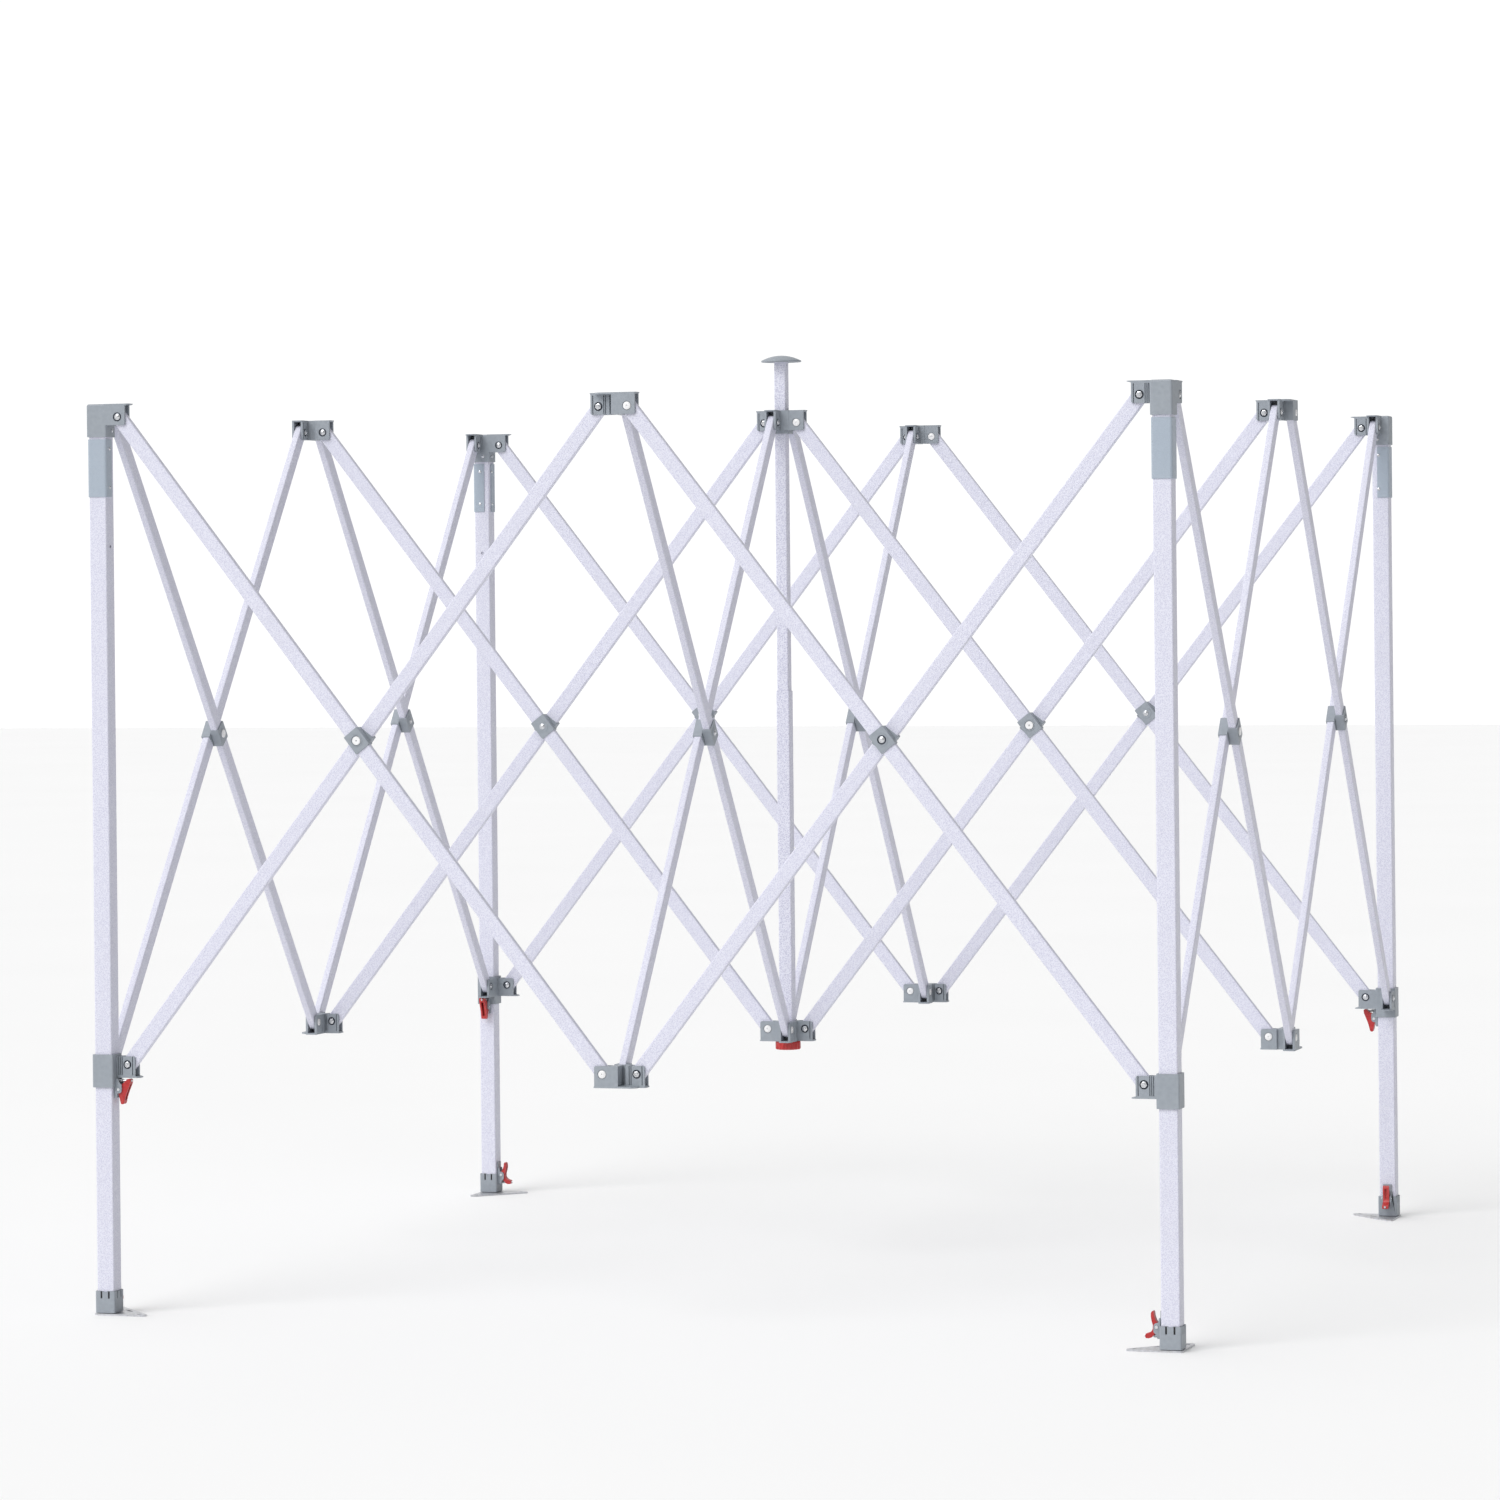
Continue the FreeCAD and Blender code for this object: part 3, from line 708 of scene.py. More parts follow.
class Palette:
    """Every finish on the frame, built once."""

    def __init__(self) -> None:
        """Build the materials."""
        shared = SharedEffects()
        self.coat = Finish(
            "hammertone_coat", (0.71, 0.715, 0.81), (0.49, 0.49, 0.63), (0.60, 0.60, 0.68),
            roughness=(0.36, 0.5), mottle=(520.0, 1.15, 0.0002), grain=(900.0, 0.00002), wear=0.25,
        ).build(shared)
        self.pole = Finish(
            "hammertone_pole", (0.72, 0.725, 0.82), (0.41, 0.41, 0.56), (0.57, 0.57, 0.66),
            roughness=(0.36, 0.5), mottle=(440.0, 1.15, 0.00025), grain=(900.0, 0.00002), wear=0.25,
        ).build(shared)
        self.grey = Finish(
            "grey_nylon", (0.30, 0.332, 0.372), (0.275, 0.305, 0.342), (0.36, 0.39, 0.425),
            roughness=(0.42, 0.6), mottle=(120.0, 0.8, 0.00003), grain=(1800.0, 0.00003), wear=0.35,
        ).build(shared)
        self.red = Finish(
            "red_nylon", (0.47, 0.022, 0.024), (0.40, 0.014, 0.016), (0.62, 0.10, 0.09),
            roughness=(0.3, 0.5), mottle=(160.0, 0.8, 0.00003), grain=(1800.0, 0.00002), wear=0.35,
        ).build(shared)
        self.zinc = Finish(
            "bright_zinc", (0.72, 0.73, 0.75), (0.60, 0.62, 0.66), (0.50, 0.50, 0.50),
            roughness=(0.2, 0.42), metallic=1.0, mottle=(420.0, 1.0, 0.00002), grain=(2600.0, 0.00001),
            wear=0.5,
        ).build(shared)
        self.plate = Finish(
            "galvanised_plate", (0.62, 0.63, 0.66), (0.50, 0.51, 0.55), (0.42, 0.41, 0.40),
            roughness=(0.32, 0.55), metallic=0.7, mottle=(150.0, 1.1, 0.00004),
            grain=(1600.0, 0.00002), wear=0.7,
        ).build(shared)
        self.enamel = Finish(
            "white_enamel", (0.86, 0.86, 0.86), (0.80, 0.80, 0.82), (0.66, 0.65, 0.63),
            roughness=(0.22, 0.4), coat=0.4, mottle=(300.0, 0.8, 0.00002), grain=(1500.0, 0.00001),
            wear=0.25,
        ).build(shared)
        self.band = Finish(
            "hook_and_loop", (0.385, 0.445, 0.52), (0.32, 0.375, 0.445), (0.44, 0.49, 0.55),
            roughness=(0.85, 0.97), mottle=(900.0, 1.3, 0.00035), grain=(1900.0, 0.0002), wear=0.3,
            sheen=0.35,
        ).build(shared)
        # painted shade: near-black finish for the discs that darken the recesses under heads and nuts
        self.recess_shade = Finish(
            "painted_recess_shade", (0.045, 0.055, 0.075), (0.03, 0.035, 0.05), (0.12, 0.13, 0.15),
            roughness=(0.35, 0.55), metallic=0.5, mottle=(500.0, 1.0, 0.00001),
            grain=(2400.0, 0.00001), wear=0.25,
        ).build(shared)
        # painted shade: near-black finish for the strips that darken the collar's slots
        self.slot_shade = Finish(
            "painted_slot_shade", (0.012, 0.012, 0.014), (0.018, 0.018, 0.02), (0.04, 0.04, 0.04),
            roughness=(0.75, 0.9), mottle=(300.0, 1.0, 0.00002), grain=(1800.0, 0.00002), wear=0.2,
        ).build(shared)
        self.floor = FloorFinish().build()


# --- pieces --------------------------------------------------------------
class Workshop:
    """Turns solids into finished pieces and keeps what they share."""

    SMOOTH_BELOW = 38.0

    def __init__(self) -> None:
        """Build the palette, the geometry trees and the fastener patterns."""
        self.palette = Palette()
        self.count = 0
        self.scatter = self._scatter_tree()
        self.coil = self._coil_tree()
        self.patterns = {
            head: bpy.data.objects.new(head.value, self._in_metres(solid))
            for head, solid in FASTENERS.items()
        }
        self.fastener_finish = {head: self.palette.zinc for head in Head}
        # the dark discs take a near-black finish that paints the shade in their recesses
        self.fastener_finish[Head.SEAT] = self.palette.recess_shade
        for head in (Head.WASHER, Head.DISC):
            self.fastener_finish[head] = self.palette.enamel

    def piece(
        self,
        name: str,
        solid: Solid,
        finish: bpy.types.Material,
        body: str,
        stands_for: str = "",
    ) -> None:
        """Make a finished piece in metres that rides on a body.

        Args:
            name: the piece's name.
            solid: its shape, in millimetres and in place.
            finish: its material.
            body: the body that it rides on.
            stands_for: the CAD node that it replaces, if any.
        """
        bench = bench_object(self._in_metres(solid))
        weigh = bench.modifiers.new("weigh", "WEIGHTED_NORMAL")
        weigh.keep_sharp = True
        final = evaluated(bench)
        bpy.data.objects.remove(bench)
        final.name = name
        final.materials.clear()
        final.materials.append(finish)
        self._register(name, final, body, stands_for)

    def _in_metres(self, solid: Solid) -> bpy.types.Mesh:
        """Copy of a solid's mesh in metres, smooth but for its sharp edges.

        Args:
            solid: the solid, in millimetres.

        Returns:
            The new mesh.
        """
        mesh = solid.mesh.copy()
        mesh.transform(Matrix.Scale(MILLIMETRE, 4))
        mesh.shade_smooth()
        mesh.set_sharp_from_angle(angle=math.radians(self.SMOOTH_BELOW))
        return mesh

    def _register(
        self, name: str, mesh: bpy.types.Mesh, body: str, stands_for: str = ""
    ) -> None:
        """Add a piece, put it on the body that it rides on, and hide the CAD node that it stands for.

        Args:
            name: the piece's name.
            mesh: its finished mesh.
            body: the body that it rides on.
            stands_for: the CAD node that it replaces, if any.
        """
        obj = new_object(name, mesh)
        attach(obj, body)
        if stands_for:
            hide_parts(stands_for)
        self.count += 1
        LOG.info("%s on %s, %d faces", obj.name, body, len(obj.data.polygons))

    def fasteners(self, body: str, spots: Iterable["Spot"]) -> None:
        """Set every fastener of a body at its spot, one piece for each kind of head.

        Args:
            body: the body that carries them.
            spots: where they sit, in millimetres.
        """
        spots = list(spots)
        for head in Head:
            chosen = [spot for spot in spots if spot.head is head]
            if not chosen:
                continue
            mesh = bpy.data.meshes.new("spots")
            mesh.from_pydata([spot.place * MILLIMETRE for spot in chosen], [], [])
            facing = mesh.attributes.new("facing", "FLOAT_VECTOR", "POINT")
            for index, spot in enumerate(chosen):
                facing.data[index].vector = spot.facing
            bench = bench_object(mesh)
            step = bench.modifiers.new("scatter", "NODES")
            step.node_group = self.scatter
            self._set_input(step, "Pattern", self.patterns[head])
            self._set_input(step, "Seed", len(chosen))
            self._set_input(step, "Finish", self.fastener_finish[head])
            final = evaluated(bench)
            bpy.data.objects.remove(bench)
            self._register(f"{head.value}s_{body}", final, body)

    def spring(self, name: str, body: str, place: Matrix) -> None:
        """Coil spring along the place's Z axis.

        Args:
            name: the piece's name.
            body: the body that carries it.
            place: where its lower end is, in millimetres.
        """
        bench = bench_object(bpy.data.meshes.new("spring"))
        step = bench.modifiers.new("coil", "NODES")
        step.node_group = self.coil
        self._set_input(step, "Finish", self.palette.zinc)
        final = evaluated(bench)
        bpy.data.objects.remove(bench)
        scale = Matrix.Scale(MILLIMETRE, 4)
        final.transform(scale @ place @ scale.inverted())
        if place.determinant() < 0:
            final.flip_normals()
        self._register(name, final, body)

    @staticmethod
    def _set_input(step: bpy.types.Modifier, label: str, value: object) -> None:
        """Set a named input of a geometry nodes modifier.

        Args:
            step: the modifier.
            label: the input's name.
            value: what it is set to.
        """
        for item in step.node_group.interface.items_tree:
            if item.item_type == "SOCKET" and item.in_out == "INPUT" and item.name == label:
                step[item.identifier] = value

    @staticmethod
    def _scatter_tree() -> bpy.types.NodeTree:
        """Tree that copies a fastener onto every point, looking along its facing.

        Returns:
            The geometry tree.
        """
        inputs = {
            "Geometry": ("NodeSocketGeometry", None),
            "Pattern": ("NodeSocketObject", None),
            "Size": (FLOAT, 1.0),
            "Seed": ("NodeSocketInt", 0),
            "Finish": ("NodeSocketMaterial", None),
        }
        outputs = {"Geometry": "NodeSocketGeometry"}
        tree, source, target = new_group("fastener_scatter", "GeometryNodeTree", inputs, outputs)
        points = add_node(tree, "GeometryNodeMeshToPoints", {"Mesh": source.outputs["Geometry"]})
        feeds = {"Name": "facing"}
        facing = add_node(tree, "GeometryNodeInputNamedAttribute", feeds, data_type="FLOAT_VECTOR")
        feeds = {"Vector": facing.outputs[0]}
        aligned = add_node(tree, "FunctionNodeAlignRotationToVector", feeds, axis="Z")
        feeds = {"Seed": source.outputs["Seed"], 2: 0.0, 3: math.tau}
        spin = add_node(tree, "FunctionNodeRandomValue", feeds, data_type="FLOAT")
        feeds = {"Axis": (0, 0, 1), "Angle": spin.outputs[1]}
        twist = add_node(tree, "FunctionNodeAxisAngleToRotation", feeds)
        feeds = {"Rotation": aligned.outputs[0], "Rotate By": twist.outputs[0]}
        turned = add_node(tree, "FunctionNodeRotateRotation", feeds, rotation_space="LOCAL")
        pattern = add_node(tree, "GeometryNodeObjectInfo", {"Object": source.outputs["Pattern"]})
        feeds = {
            "Points": points.outputs[0],
            "Instance": pattern.outputs["Geometry"],
            "Rotation": turned.outputs[0],
            "Scale": source.outputs["Size"],
        }
        copies = add_node(tree, "GeometryNodeInstanceOnPoints", feeds)
        real = add_node(tree, "GeometryNodeRealizeInstances", {"Geometry": copies.outputs[0]})
        feeds = {"Geometry": real.outputs[0], "Material": source.outputs["Finish"]}
        dressed = add_node(tree, "GeometryNodeSetMaterial", feeds)
        tree.links.new(dressed.outputs[0], target.inputs[0])
        return tree

    @staticmethod
    def _coil_tree() -> bpy.types.NodeTree:
        """Tree that winds a round wire along Z.

        Returns:
            The geometry tree.
        """
        inputs = {
            "Radius": (FLOAT, 0.0027),
            "Length": (FLOAT, 0.011),
            "Turns": (FLOAT, 6.0),
            "Wire": (FLOAT, 0.00045),
            "Finish": ("NodeSocketMaterial", None),
        }
        outputs = {"Geometry": "NodeSocketGeometry"}
        tree, source, target = new_group("wire_coil", "GeometryNodeTree", inputs, outputs)
        feeds = {
            "Resolution": 20,
            "Rotations": source.outputs["Turns"],
            "Start Radius": source.outputs["Radius"],
            "End Radius": source.outputs["Radius"],
            "Height": source.outputs["Length"],
        }
        spiral = add_node(tree, "GeometryNodeCurveSpiral", feeds)
        feeds = {"Resolution": 8, "Radius": source.outputs["Wire"]}
        wire = add_node(tree, "GeometryNodeCurvePrimitiveCircle", feeds)
        feeds = {"Curve": spiral.outputs[0], "Profile Curve": wire.outputs[0], "Fill Caps": True}
        swept = add_node(tree, "GeometryNodeCurveToMesh", feeds)
        smooth = add_node(tree, "GeometryNodeSetShadeSmooth", {"Geometry": swept.outputs[0]})
        real = add_node(tree, "GeometryNodeRealizeInstances", {"Geometry": smooth.outputs[0]})
        feeds = {"Geometry": real.outputs[0], "Material": source.outputs["Finish"]}
        dressed = add_node(tree, "GeometryNodeSetMaterial", feeds)
        tree.links.new(dressed.outputs[0], target.inputs[0])
        return tree


@dataclass(frozen=True)
class Spot:
    """Where a fastener sits.

    Args:
        head: the kind of fastener.
        place: its seat, in millimetres.
        facing: the way that it looks.
    """

    head: Head
    place: Vector
    facing: Vector

    def moved(self, matrix: Matrix) -> "Spot":
        """The spot after a move."""
        return Spot(self.head, matrix @ self.place, (matrix.to_3x3() @ self.facing).normalized())


# --- fasteners -----------------------------------------------------------
# Radii and gaps in millimetres that fasteners share with the solids that take them.
SHANK_R = 3.0
SNUG = 0.05
BOSS_SINK = 0.9
PIN_R = 1.5
PIN_HOLE_R = 1.6
RUNNING = 0.4
# The bars' angle to the floor when the frame is fully open.
OPEN_SLOPE = math.radians(7.9)


def socket_head(radius: float, height: float, socket: float) -> Solid:
    """Low round head with a soft rim and a small socket.

    Args:
        radius: its radius.
        height: its height.
        socket: radius of its socket.

    Returns:
        The head, on its seat at height 0.
    """
    return Solid.turned(
        [
            (0, 0),
            (radius, 0),
            (radius, height * 0.45),
            (radius * 0.96, height * 0.8),
            (radius * 0.88, height),
            (socket * 1.25, height),
            (socket, height * 0.85),
            (socket * 0.9, height * 0.25),
            (0, height * 0.2),
        ],
        sides=36,
    )


def hex_nut(across: float, height: float, stub: float) -> Solid:
    """Hexagon nut with its chamfered top and the bolt's end through it.

    Args:
        across: width over its flats.
        height: its height.
        stub: how far the bolt stands past it.

    Returns:
        The nut, on its seat at height 0.
    """
    radius = across / math.sqrt(3)
    hexagon = [polar(radius, math.tau * i / 6) for i in range(6)]
    body = Solid.prism(hexagon, 0, height, Axis.Z).eased(0.5, 2)
    rim = SHANK_R + 0.7
    bore = Solid.turned([(0, height), (rim, height + 0.02), (rim, height + 0.3), (0, height + 0.3)])
    return body.beside(bore, bolt_tip(height + stub, -shank_reach()))


def shank_reach() -> float:
    """How far a shank runs back from its nut, through both cheeks of a fork."""
    return 2 * (FORK.half - FORK.seat_depth)


def bolt_tip(high: float, low: float) -> Solid:
    """Bolt's shank with a chamfered end.

    Args:
        high: height of its end.
        low: height where the shank starts.

    Returns:
        The solid.
    """
    return Solid.turned(
        [(0, low), (SHANK_R, low), (SHANK_R, high - 0.8), (SHANK_R - 0.8, high), (0, high)], sides=24
    )


def ringed_bolt_end() -> Solid:
    """Bright washer and domed bolt end.

    Returns:
        The solid, on its seat at height 0.
    """
    washer = Solid.turned([(0, 0.5), (5.3, 0.5), (5.3, 1.1), (4.9, 1.4), (3.6, 1.4), (0, 1.4)], sides=36)
    dome = Solid.turned([(0, 1.3), (3.9, 1.3), (3.9, 2.0), (3.3, 2.7), (2.0, 3.1), (0, 3.2)], sides=32)
    return washer.beside(dome)


def cross_screw() -> Solid:
    """Pan head screw with a crossed recess.

    Returns:
        The solid, on its seat at height 0.
    """
    head = Solid.turned([(0, 0), (3.0, 0), (2.9, 0.7), (2.3, 1.2), (0, 1.3)], sides=28)
    slot = Solid.box((-1.6, 1.6), (-0.3, 0.3), (0.7, 2.0))
    return head.cut(slot, slot.placed(quarter(1)))


# --- moulded brackets ----------------------------------------------------
@dataclass(frozen=True)
class ForkSizes:
    """Sizes of a clevis that takes a bar's end.

    Args:
        reach: pivot to the fork's end, and to the slot's bottom.
        half: half the fork's thickness.
        slot: half the slot's width.
        open_side: pivot to the edge away from the flange.
        headroom: pivot to the flange.
        flange: the flange's thickness.
        seat_radius: round recess for a head.
        seat_depth: its depth.
        nut_recess: radius and depth of the recess for a nut.
        corner_round: radius of the block's lower front edge.
        groove: width and depth of an upright groove.
        groove_pitch: distance between grooves.
        groove_start: pivot to the nearest groove.
        lip_tip: thickness of the flange at its far edge.
    """

    reach: float = 14.0
    half: float = 10.9
    slot: float = 6.9
    open_side: float = 14.0
    headroom: float = 20.0
    flange: float = 3.0
    seat_radius: float = 8.0
    seat_depth: float = 1.5
    nut_recess: Span = (7.6, 2.6)
    corner_round: float = 3.5
    groove: Span = (1.7, 3.0)
    groove_pitch: float = 3.2
    groove_start: float = 9.8
    lip_tip: float = 1.4


FORK = ForkSizes()


@dataclass
class Fork:
    """One fork of a bracket.

    Args:
        turns: quarter turns from +X to the way that it opens.
        x: its pivot's place along X.
        y: its pivot's place along Y.
        back: how far its block runs towards the bracket's middle.
        head_side: side of the bolt's head along the fork's own Y, -1 or 1.
        lip: flange past the fork's end.
        head: the kind of head on that side.
        grooves: count of upright grooves behind the nut.
    """

    turns: int
    x: float
    y: float
    back: float
    head_side: int
    lip: float = 0.0
    head: Head = Head.WASHER
    grooves: int = 2

    def block(self) -> list[Solid]:
        """Fork before its slot is cut, and its flange.

        Returns:
            The solids, in the fork's own axes.
        """
        low, high = -FORK.open_side, FORK.headroom + FORK.flange
        steps, radius = 5, FORK.corner_round
        centre = (FORK.reach - radius, low + radius)
        outline = [(-self.back, low)]
        outline += [polar(radius, QUARTER * (i / steps - 1), centre) for i in range(steps + 1)]
        outline += [(FORK.reach, high), (-self.back, high)]
        body = Solid.prism(outline, -FORK.half, FORK.half, Axis.Y)
        if not self.lip:
            return [body]
        far = FORK.reach + self.lip
        notch = min(self.lip, 4.0)
        inset = FORK.half - notch
        plate = [(0, -FORK.half), (far - notch, -FORK.half), (far, -inset), (far, inset)]
        plate += [(far - notch, FORK.half), (0, FORK.half)]
        lip = Solid.prism(plate, FORK.headroom - 1, high, Axis.Z)
        under = [(-40, FORK.headroom - 5), (60, FORK.headroom - 5), (60, high - FORK.lip_tip)]
        under += [(far, high - FORK.lip_tip), (FORK.reach, FORK.headroom), (-40, FORK.headroom)]
        return [body, lip.cut(Solid.prism(under, -30, 30, Axis.Y))]

    def cuts(self) -> list[Solid]:
        """Slot, recesses for the head and the nut, and grooves beside the nut.

        Returns:
            The solids to cut away, in the fork's own axes.
        """
        slot = Solid.box((-FORK.reach, 60), (-FORK.slot, FORK.slot), (-60, FORK.headroom))
        side = self.head_side
        seat = span(side, FORK.half - FORK.seat_depth, FORK.half + 1)
        nut_radius, nut_depth = FORK.nut_recess
        recess = span(-side, FORK.half - nut_depth, FORK.half + 1)
        cuts = [slot, Solid.rod(FORK.seat_radius, (0, 0), *seat, Axis.Y)]
        cuts.append(Solid.rod(nut_radius, (0, 0), *recess, Axis.Y))
        width, depth = FORK.groove
        groove_y = span(-side, FORK.half - depth, FORK.half + 1)
        starts = [-FORK.groove_start - FORK.groove_pitch * i for i in range(self.grooves)]
        for start in (*starts, FORK.groove_start):
            groove_x = (start - width / 2, start + width / 2)
            cuts.append(Solid.box(groove_x, groove_y, (-60, FORK.headroom - 1.5)))
        return cuts

    def spots(self) -> list[Spot]:
        """The fork's head and nut, with dark discs under them that paint the shade in their recesses.

        Returns:
            The spots, in the fork's own axes.
        """
        side = self.head_side
        seat = FORK.half - FORK.seat_depth
        bottom = FORK.half - FORK.nut_recess[1]
        front, back = Vector((0, side, 0)), Vector((0, -side, 0))
        spots = [Spot(self.head, front * seat, front), Spot(Head.NUT, back * (bottom + 0.7), back)]
        spots.append(Spot(Head.SEAT, back * bottom, back))
        # painted shade: a dark disc in the seat's recess under the bolt end
        if self.head is Head.BOLT_END:
            spots.append(Spot(Head.SEAT, front * seat, front))
        return spots


@dataclass
class Bracket:
    """A moulding with forks, its flange above when upward and below when not.

    Args:
        core: the solids that the forks grow from, drawn for an upward bracket.
        forks: the forks.
        upward: True when the flange is on top.
        cuts: further cuts, in the bracket's own axes as it stands.
        extra: further solids to join, in the same axes.
        ease: radius of its edges.
    """

    core: list[Solid]
    forks: list[Fork]
    upward: bool
    cuts: list[Solid] = field(default_factory=list)
    extra: list[Solid] = field(default_factory=list)
    ease: float = 0.9

    def _place(self, fork: Fork) -> Matrix:
        """Move from a fork's own axes to the bracket's."""
        turned = shift(fork.x, fork.y, 0) @ quarter(fork.turns)
        return turned if self.upward else turned @ FLIP

    def solid(self) -> Solid:
        """The finished moulding, with its pivots at height 0.

        Returns:
            The solid, in the bracket's axes.
        """
        blocks = [s if self.upward else s.placed(FLIP) for s in self.core] + self.extra
        cuts = list(self.cuts)
        for fork in self.forks:
            place = self._place(fork)
            blocks += [s.placed(place) for s in fork.block()]
            cuts += [s.placed(place) for s in fork.cuts()]
        return blocks[0].joined(*blocks[1:]).cut(*cuts).eased(self.ease)

    def spots(self) -> list[Spot]:
        """Every head and nut of the bracket."""
        return [spot.moved(self._place(fork)) for fork in self.forks for spot in fork.spots()]


# --- sub-assemblies ------------------------------------------------------
@dataclass
class TrussBars:
    """The crossed flat bars, each with two end plugs and a clip at its crossing.

    Args:
        width: bar's width in its swinging plane.
        thickness: bar's thickness.
        edge: radius of its long edges.
        clip: length of a clip along the bar.
        clip_side: clip's wall over the bar's edges.
        clip_outer: clip's wall over the outward face.
        clip_inner: clip's wall between the bars.
        boss: size and rise of the raised pad round the bolt.
    """

    width: float = 26.0
    thickness: float = 13.0
    edge: float = 2.2
    clip: float = 37.0
    clip_side: float = 2.0
    clip_outer: float = 2.0
    clip_inner: float = 1.2
    boss: Span = (21.0, 0.6)

    def bar(self) -> Solid:
        """Flat bar with round ends, along +X from pivot to pivot.

        Returns:
            The solid.
        """
        half = self.width / 2
        outline = []
        steps = 14
        for centre, start in ((LAYOUT.bar_length, -QUARTER), (0.0, QUARTER)):
            for step in range(steps + 1):
                outline.append(polar(half, start + math.pi * step / steps, (centre, 0.0)))
        face = self.thickness / 2
        body = Solid.prism(outline, -face, face, Axis.Y).eased(self.edge, 3, 60)
        holes = []
        for x in (0.0, LAYOUT.bar_length / 2, LAYOUT.bar_length):
            holes.append(Solid.rod(SHANK_R + SNUG, (x, 0), -half, half, Axis.Y, sides=24))
        return body.cut(*holes)

    def clip_solid(self, outward: int, head: Head | None) -> Solid:
        """Clip that wraps a bar at its middle.

        Args:
            outward: -1 or 1 along Y, away from the other bar.
            head: what sits on the outward face, or None.

        Returns:
            The clip.
        """
        middle = LAYOUT.bar_length / 2
        half_z = self.width / 2 + self.clip_side
        half_t = self.thickness / 2
        ys = span(outward, -(half_t + self.clip_inner), half_t + self.clip_outer)
        length = self.clip / 2
        notch = 1.0
        outline = [
            (middle - length, -half_z + notch), (middle - length + notch, -half_z),
            (middle + length - notch, -half_z), (middle + length, -half_z + notch),
            (middle + length, half_z - notch), (middle + length - notch, half_z),
            (middle - length + notch, half_z), (middle - length, half_z - notch),
        ]
        shell = Solid.prism(outline, *ys, Axis.Y)
        size, rise = self.boss
        face = outward * (half_t + self.clip_outer)
        pad_y = sorted((face - outward * 1.0, face + outward * rise))
        pad = Solid.rod(size / 2, (middle, 0), *pad_y, Axis.Y)
        room = Solid.box(
            (middle - self.clip, middle + self.clip), (-half_t, half_t), (-self.width / 2, self.width / 2)
        )
        well = sorted((face - outward * BOSS_SINK, face + outward * 5))
        hole = Solid.rod(SHANK_R + SNUG, (middle, 0), -20, 20, Axis.Y, sides=24)
        cuts = [room, hole]
        if head is not None:
            radius = 9.0 if head is Head.DISC else 8.0
            cuts.append(Solid.rod(radius, (middle, 0), *well, Axis.Y))
        return shell.joined(pad).cut(*cuts).eased(0.6)

    def plugs(self) -> Solid:
        """Plastic plugs that close the bar's two ends, inside its wall.

        Returns:
            Both plugs in one solid.
        """
        half_t = self.thickness / 2 - 1.2
        radius = self.width / 2 + 0.25
        solids = []
        for centre, start in ((0.0, QUARTER), (LAYOUT.bar_length, -QUARTER)):
            outline = []
            for step in range(13):
                angle = start + math.pi * step / 12
                outline.append((centre + radius * math.cos(angle), radius * math.sin(angle) * 0.86))
            solids.append(Solid.prism(outline, -half_t, half_t, Axis.Y).eased(0.5))
        return solids[0].beside(solids[1])

    def crossing(self, head: Head, face: float) -> list[Spot]:
        """Head on a clip's outward face, a dark disc under it that paints the shade in its recess, and its
        other end behind the second bar.

        Args:
            head: what sits on the outward face.
            face: the clip's outward face along Y, from the bar's middle plane.

        Returns:
            The spots, in the bar's own axes.
        """
        middle, side = LAYOUT.bar_length / 2, math.copysign(1, face)
        front, back = Vector((0, side, 0)), Vector((0, -side, 0))
        near = Vector((middle, face - side * BOSS_SINK, 0))
        far = Vector((middle, -face - side * 2 * LAYOUT.plane, 0))
        other = Head.BOLT_END if head is Head.DISC else Head.DISC
        return [Spot(head, near, front), Spot(Head.SEAT, near, front), Spot(other, far, back)]

    def build(self, shop: Workshop) -> None:
        """Make all twenty-four bars.

        Args:
            shop: where the pieces are finished.
        """
        far = LAYOUT.half_side - LAYOUT.corner
        outer, inner = -LAYOUT.half_side - LAYOUT.plane, -LAYOUT.half_side + LAYOUT.plane
        top, low, mid, hub = LAYOUT.top, LAYOUT.low, LAYOUT.middle, LAYOUT.hub
        kinds = {
            "left_down": ((-far, outer, top), False, -1, 0, Head.DISC),
            "left_up": ((-far, inner, low), True, 1, 0, None),
            "right_up": ((mid, inner, low), True, 1, 0, None),
            "right_down": ((mid, outer, top), False, -1, 0, Head.BOLT_END),
            "inner_high": ((-LAYOUT.plane, -hub, top), False, -1, 3, Head.DISC),
            "inner_low": ((LAYOUT.plane, -hub, low), True, 1, 3, None),
        }
        bar, plugs = self.bar(), self.plugs()
        clips = {key: self.clip_solid(*key) for key in {(kind[2], kind[4]) for kind in kinds.values()}}
        face = self.thickness / 2 + self.clip_outer
        for label, (start, upward, outward, turns, head) in kinds.items():
            tilt = Matrix.Rotation(-LAYOUT.slope if upward else LAYOUT.slope, 4, "Y")
            place = shift(*start) @ quarter(turns) @ tilt
            for side, name in enumerate(SIDES):
                body = f"truss_{name}_{label}"
                stand = quarter(side) @ place
                palette = shop.palette
                shop.piece(f"bar_{name}_{label}", bar.placed(stand), palette.coat, body, body)
                shop.piece(f"plugs_{name}_{label}", plugs.placed(stand), palette.grey, body)
                clip = clips[(outward, head)].placed(stand)
                shop.piece(f"clip_{name}_{label}", clip, palette.grey, body)
                if head is not None:
                    spots = self.crossing(head, outward * face)
                    shop.fasteners(body, [spot.moved(stand) for spot in spots])


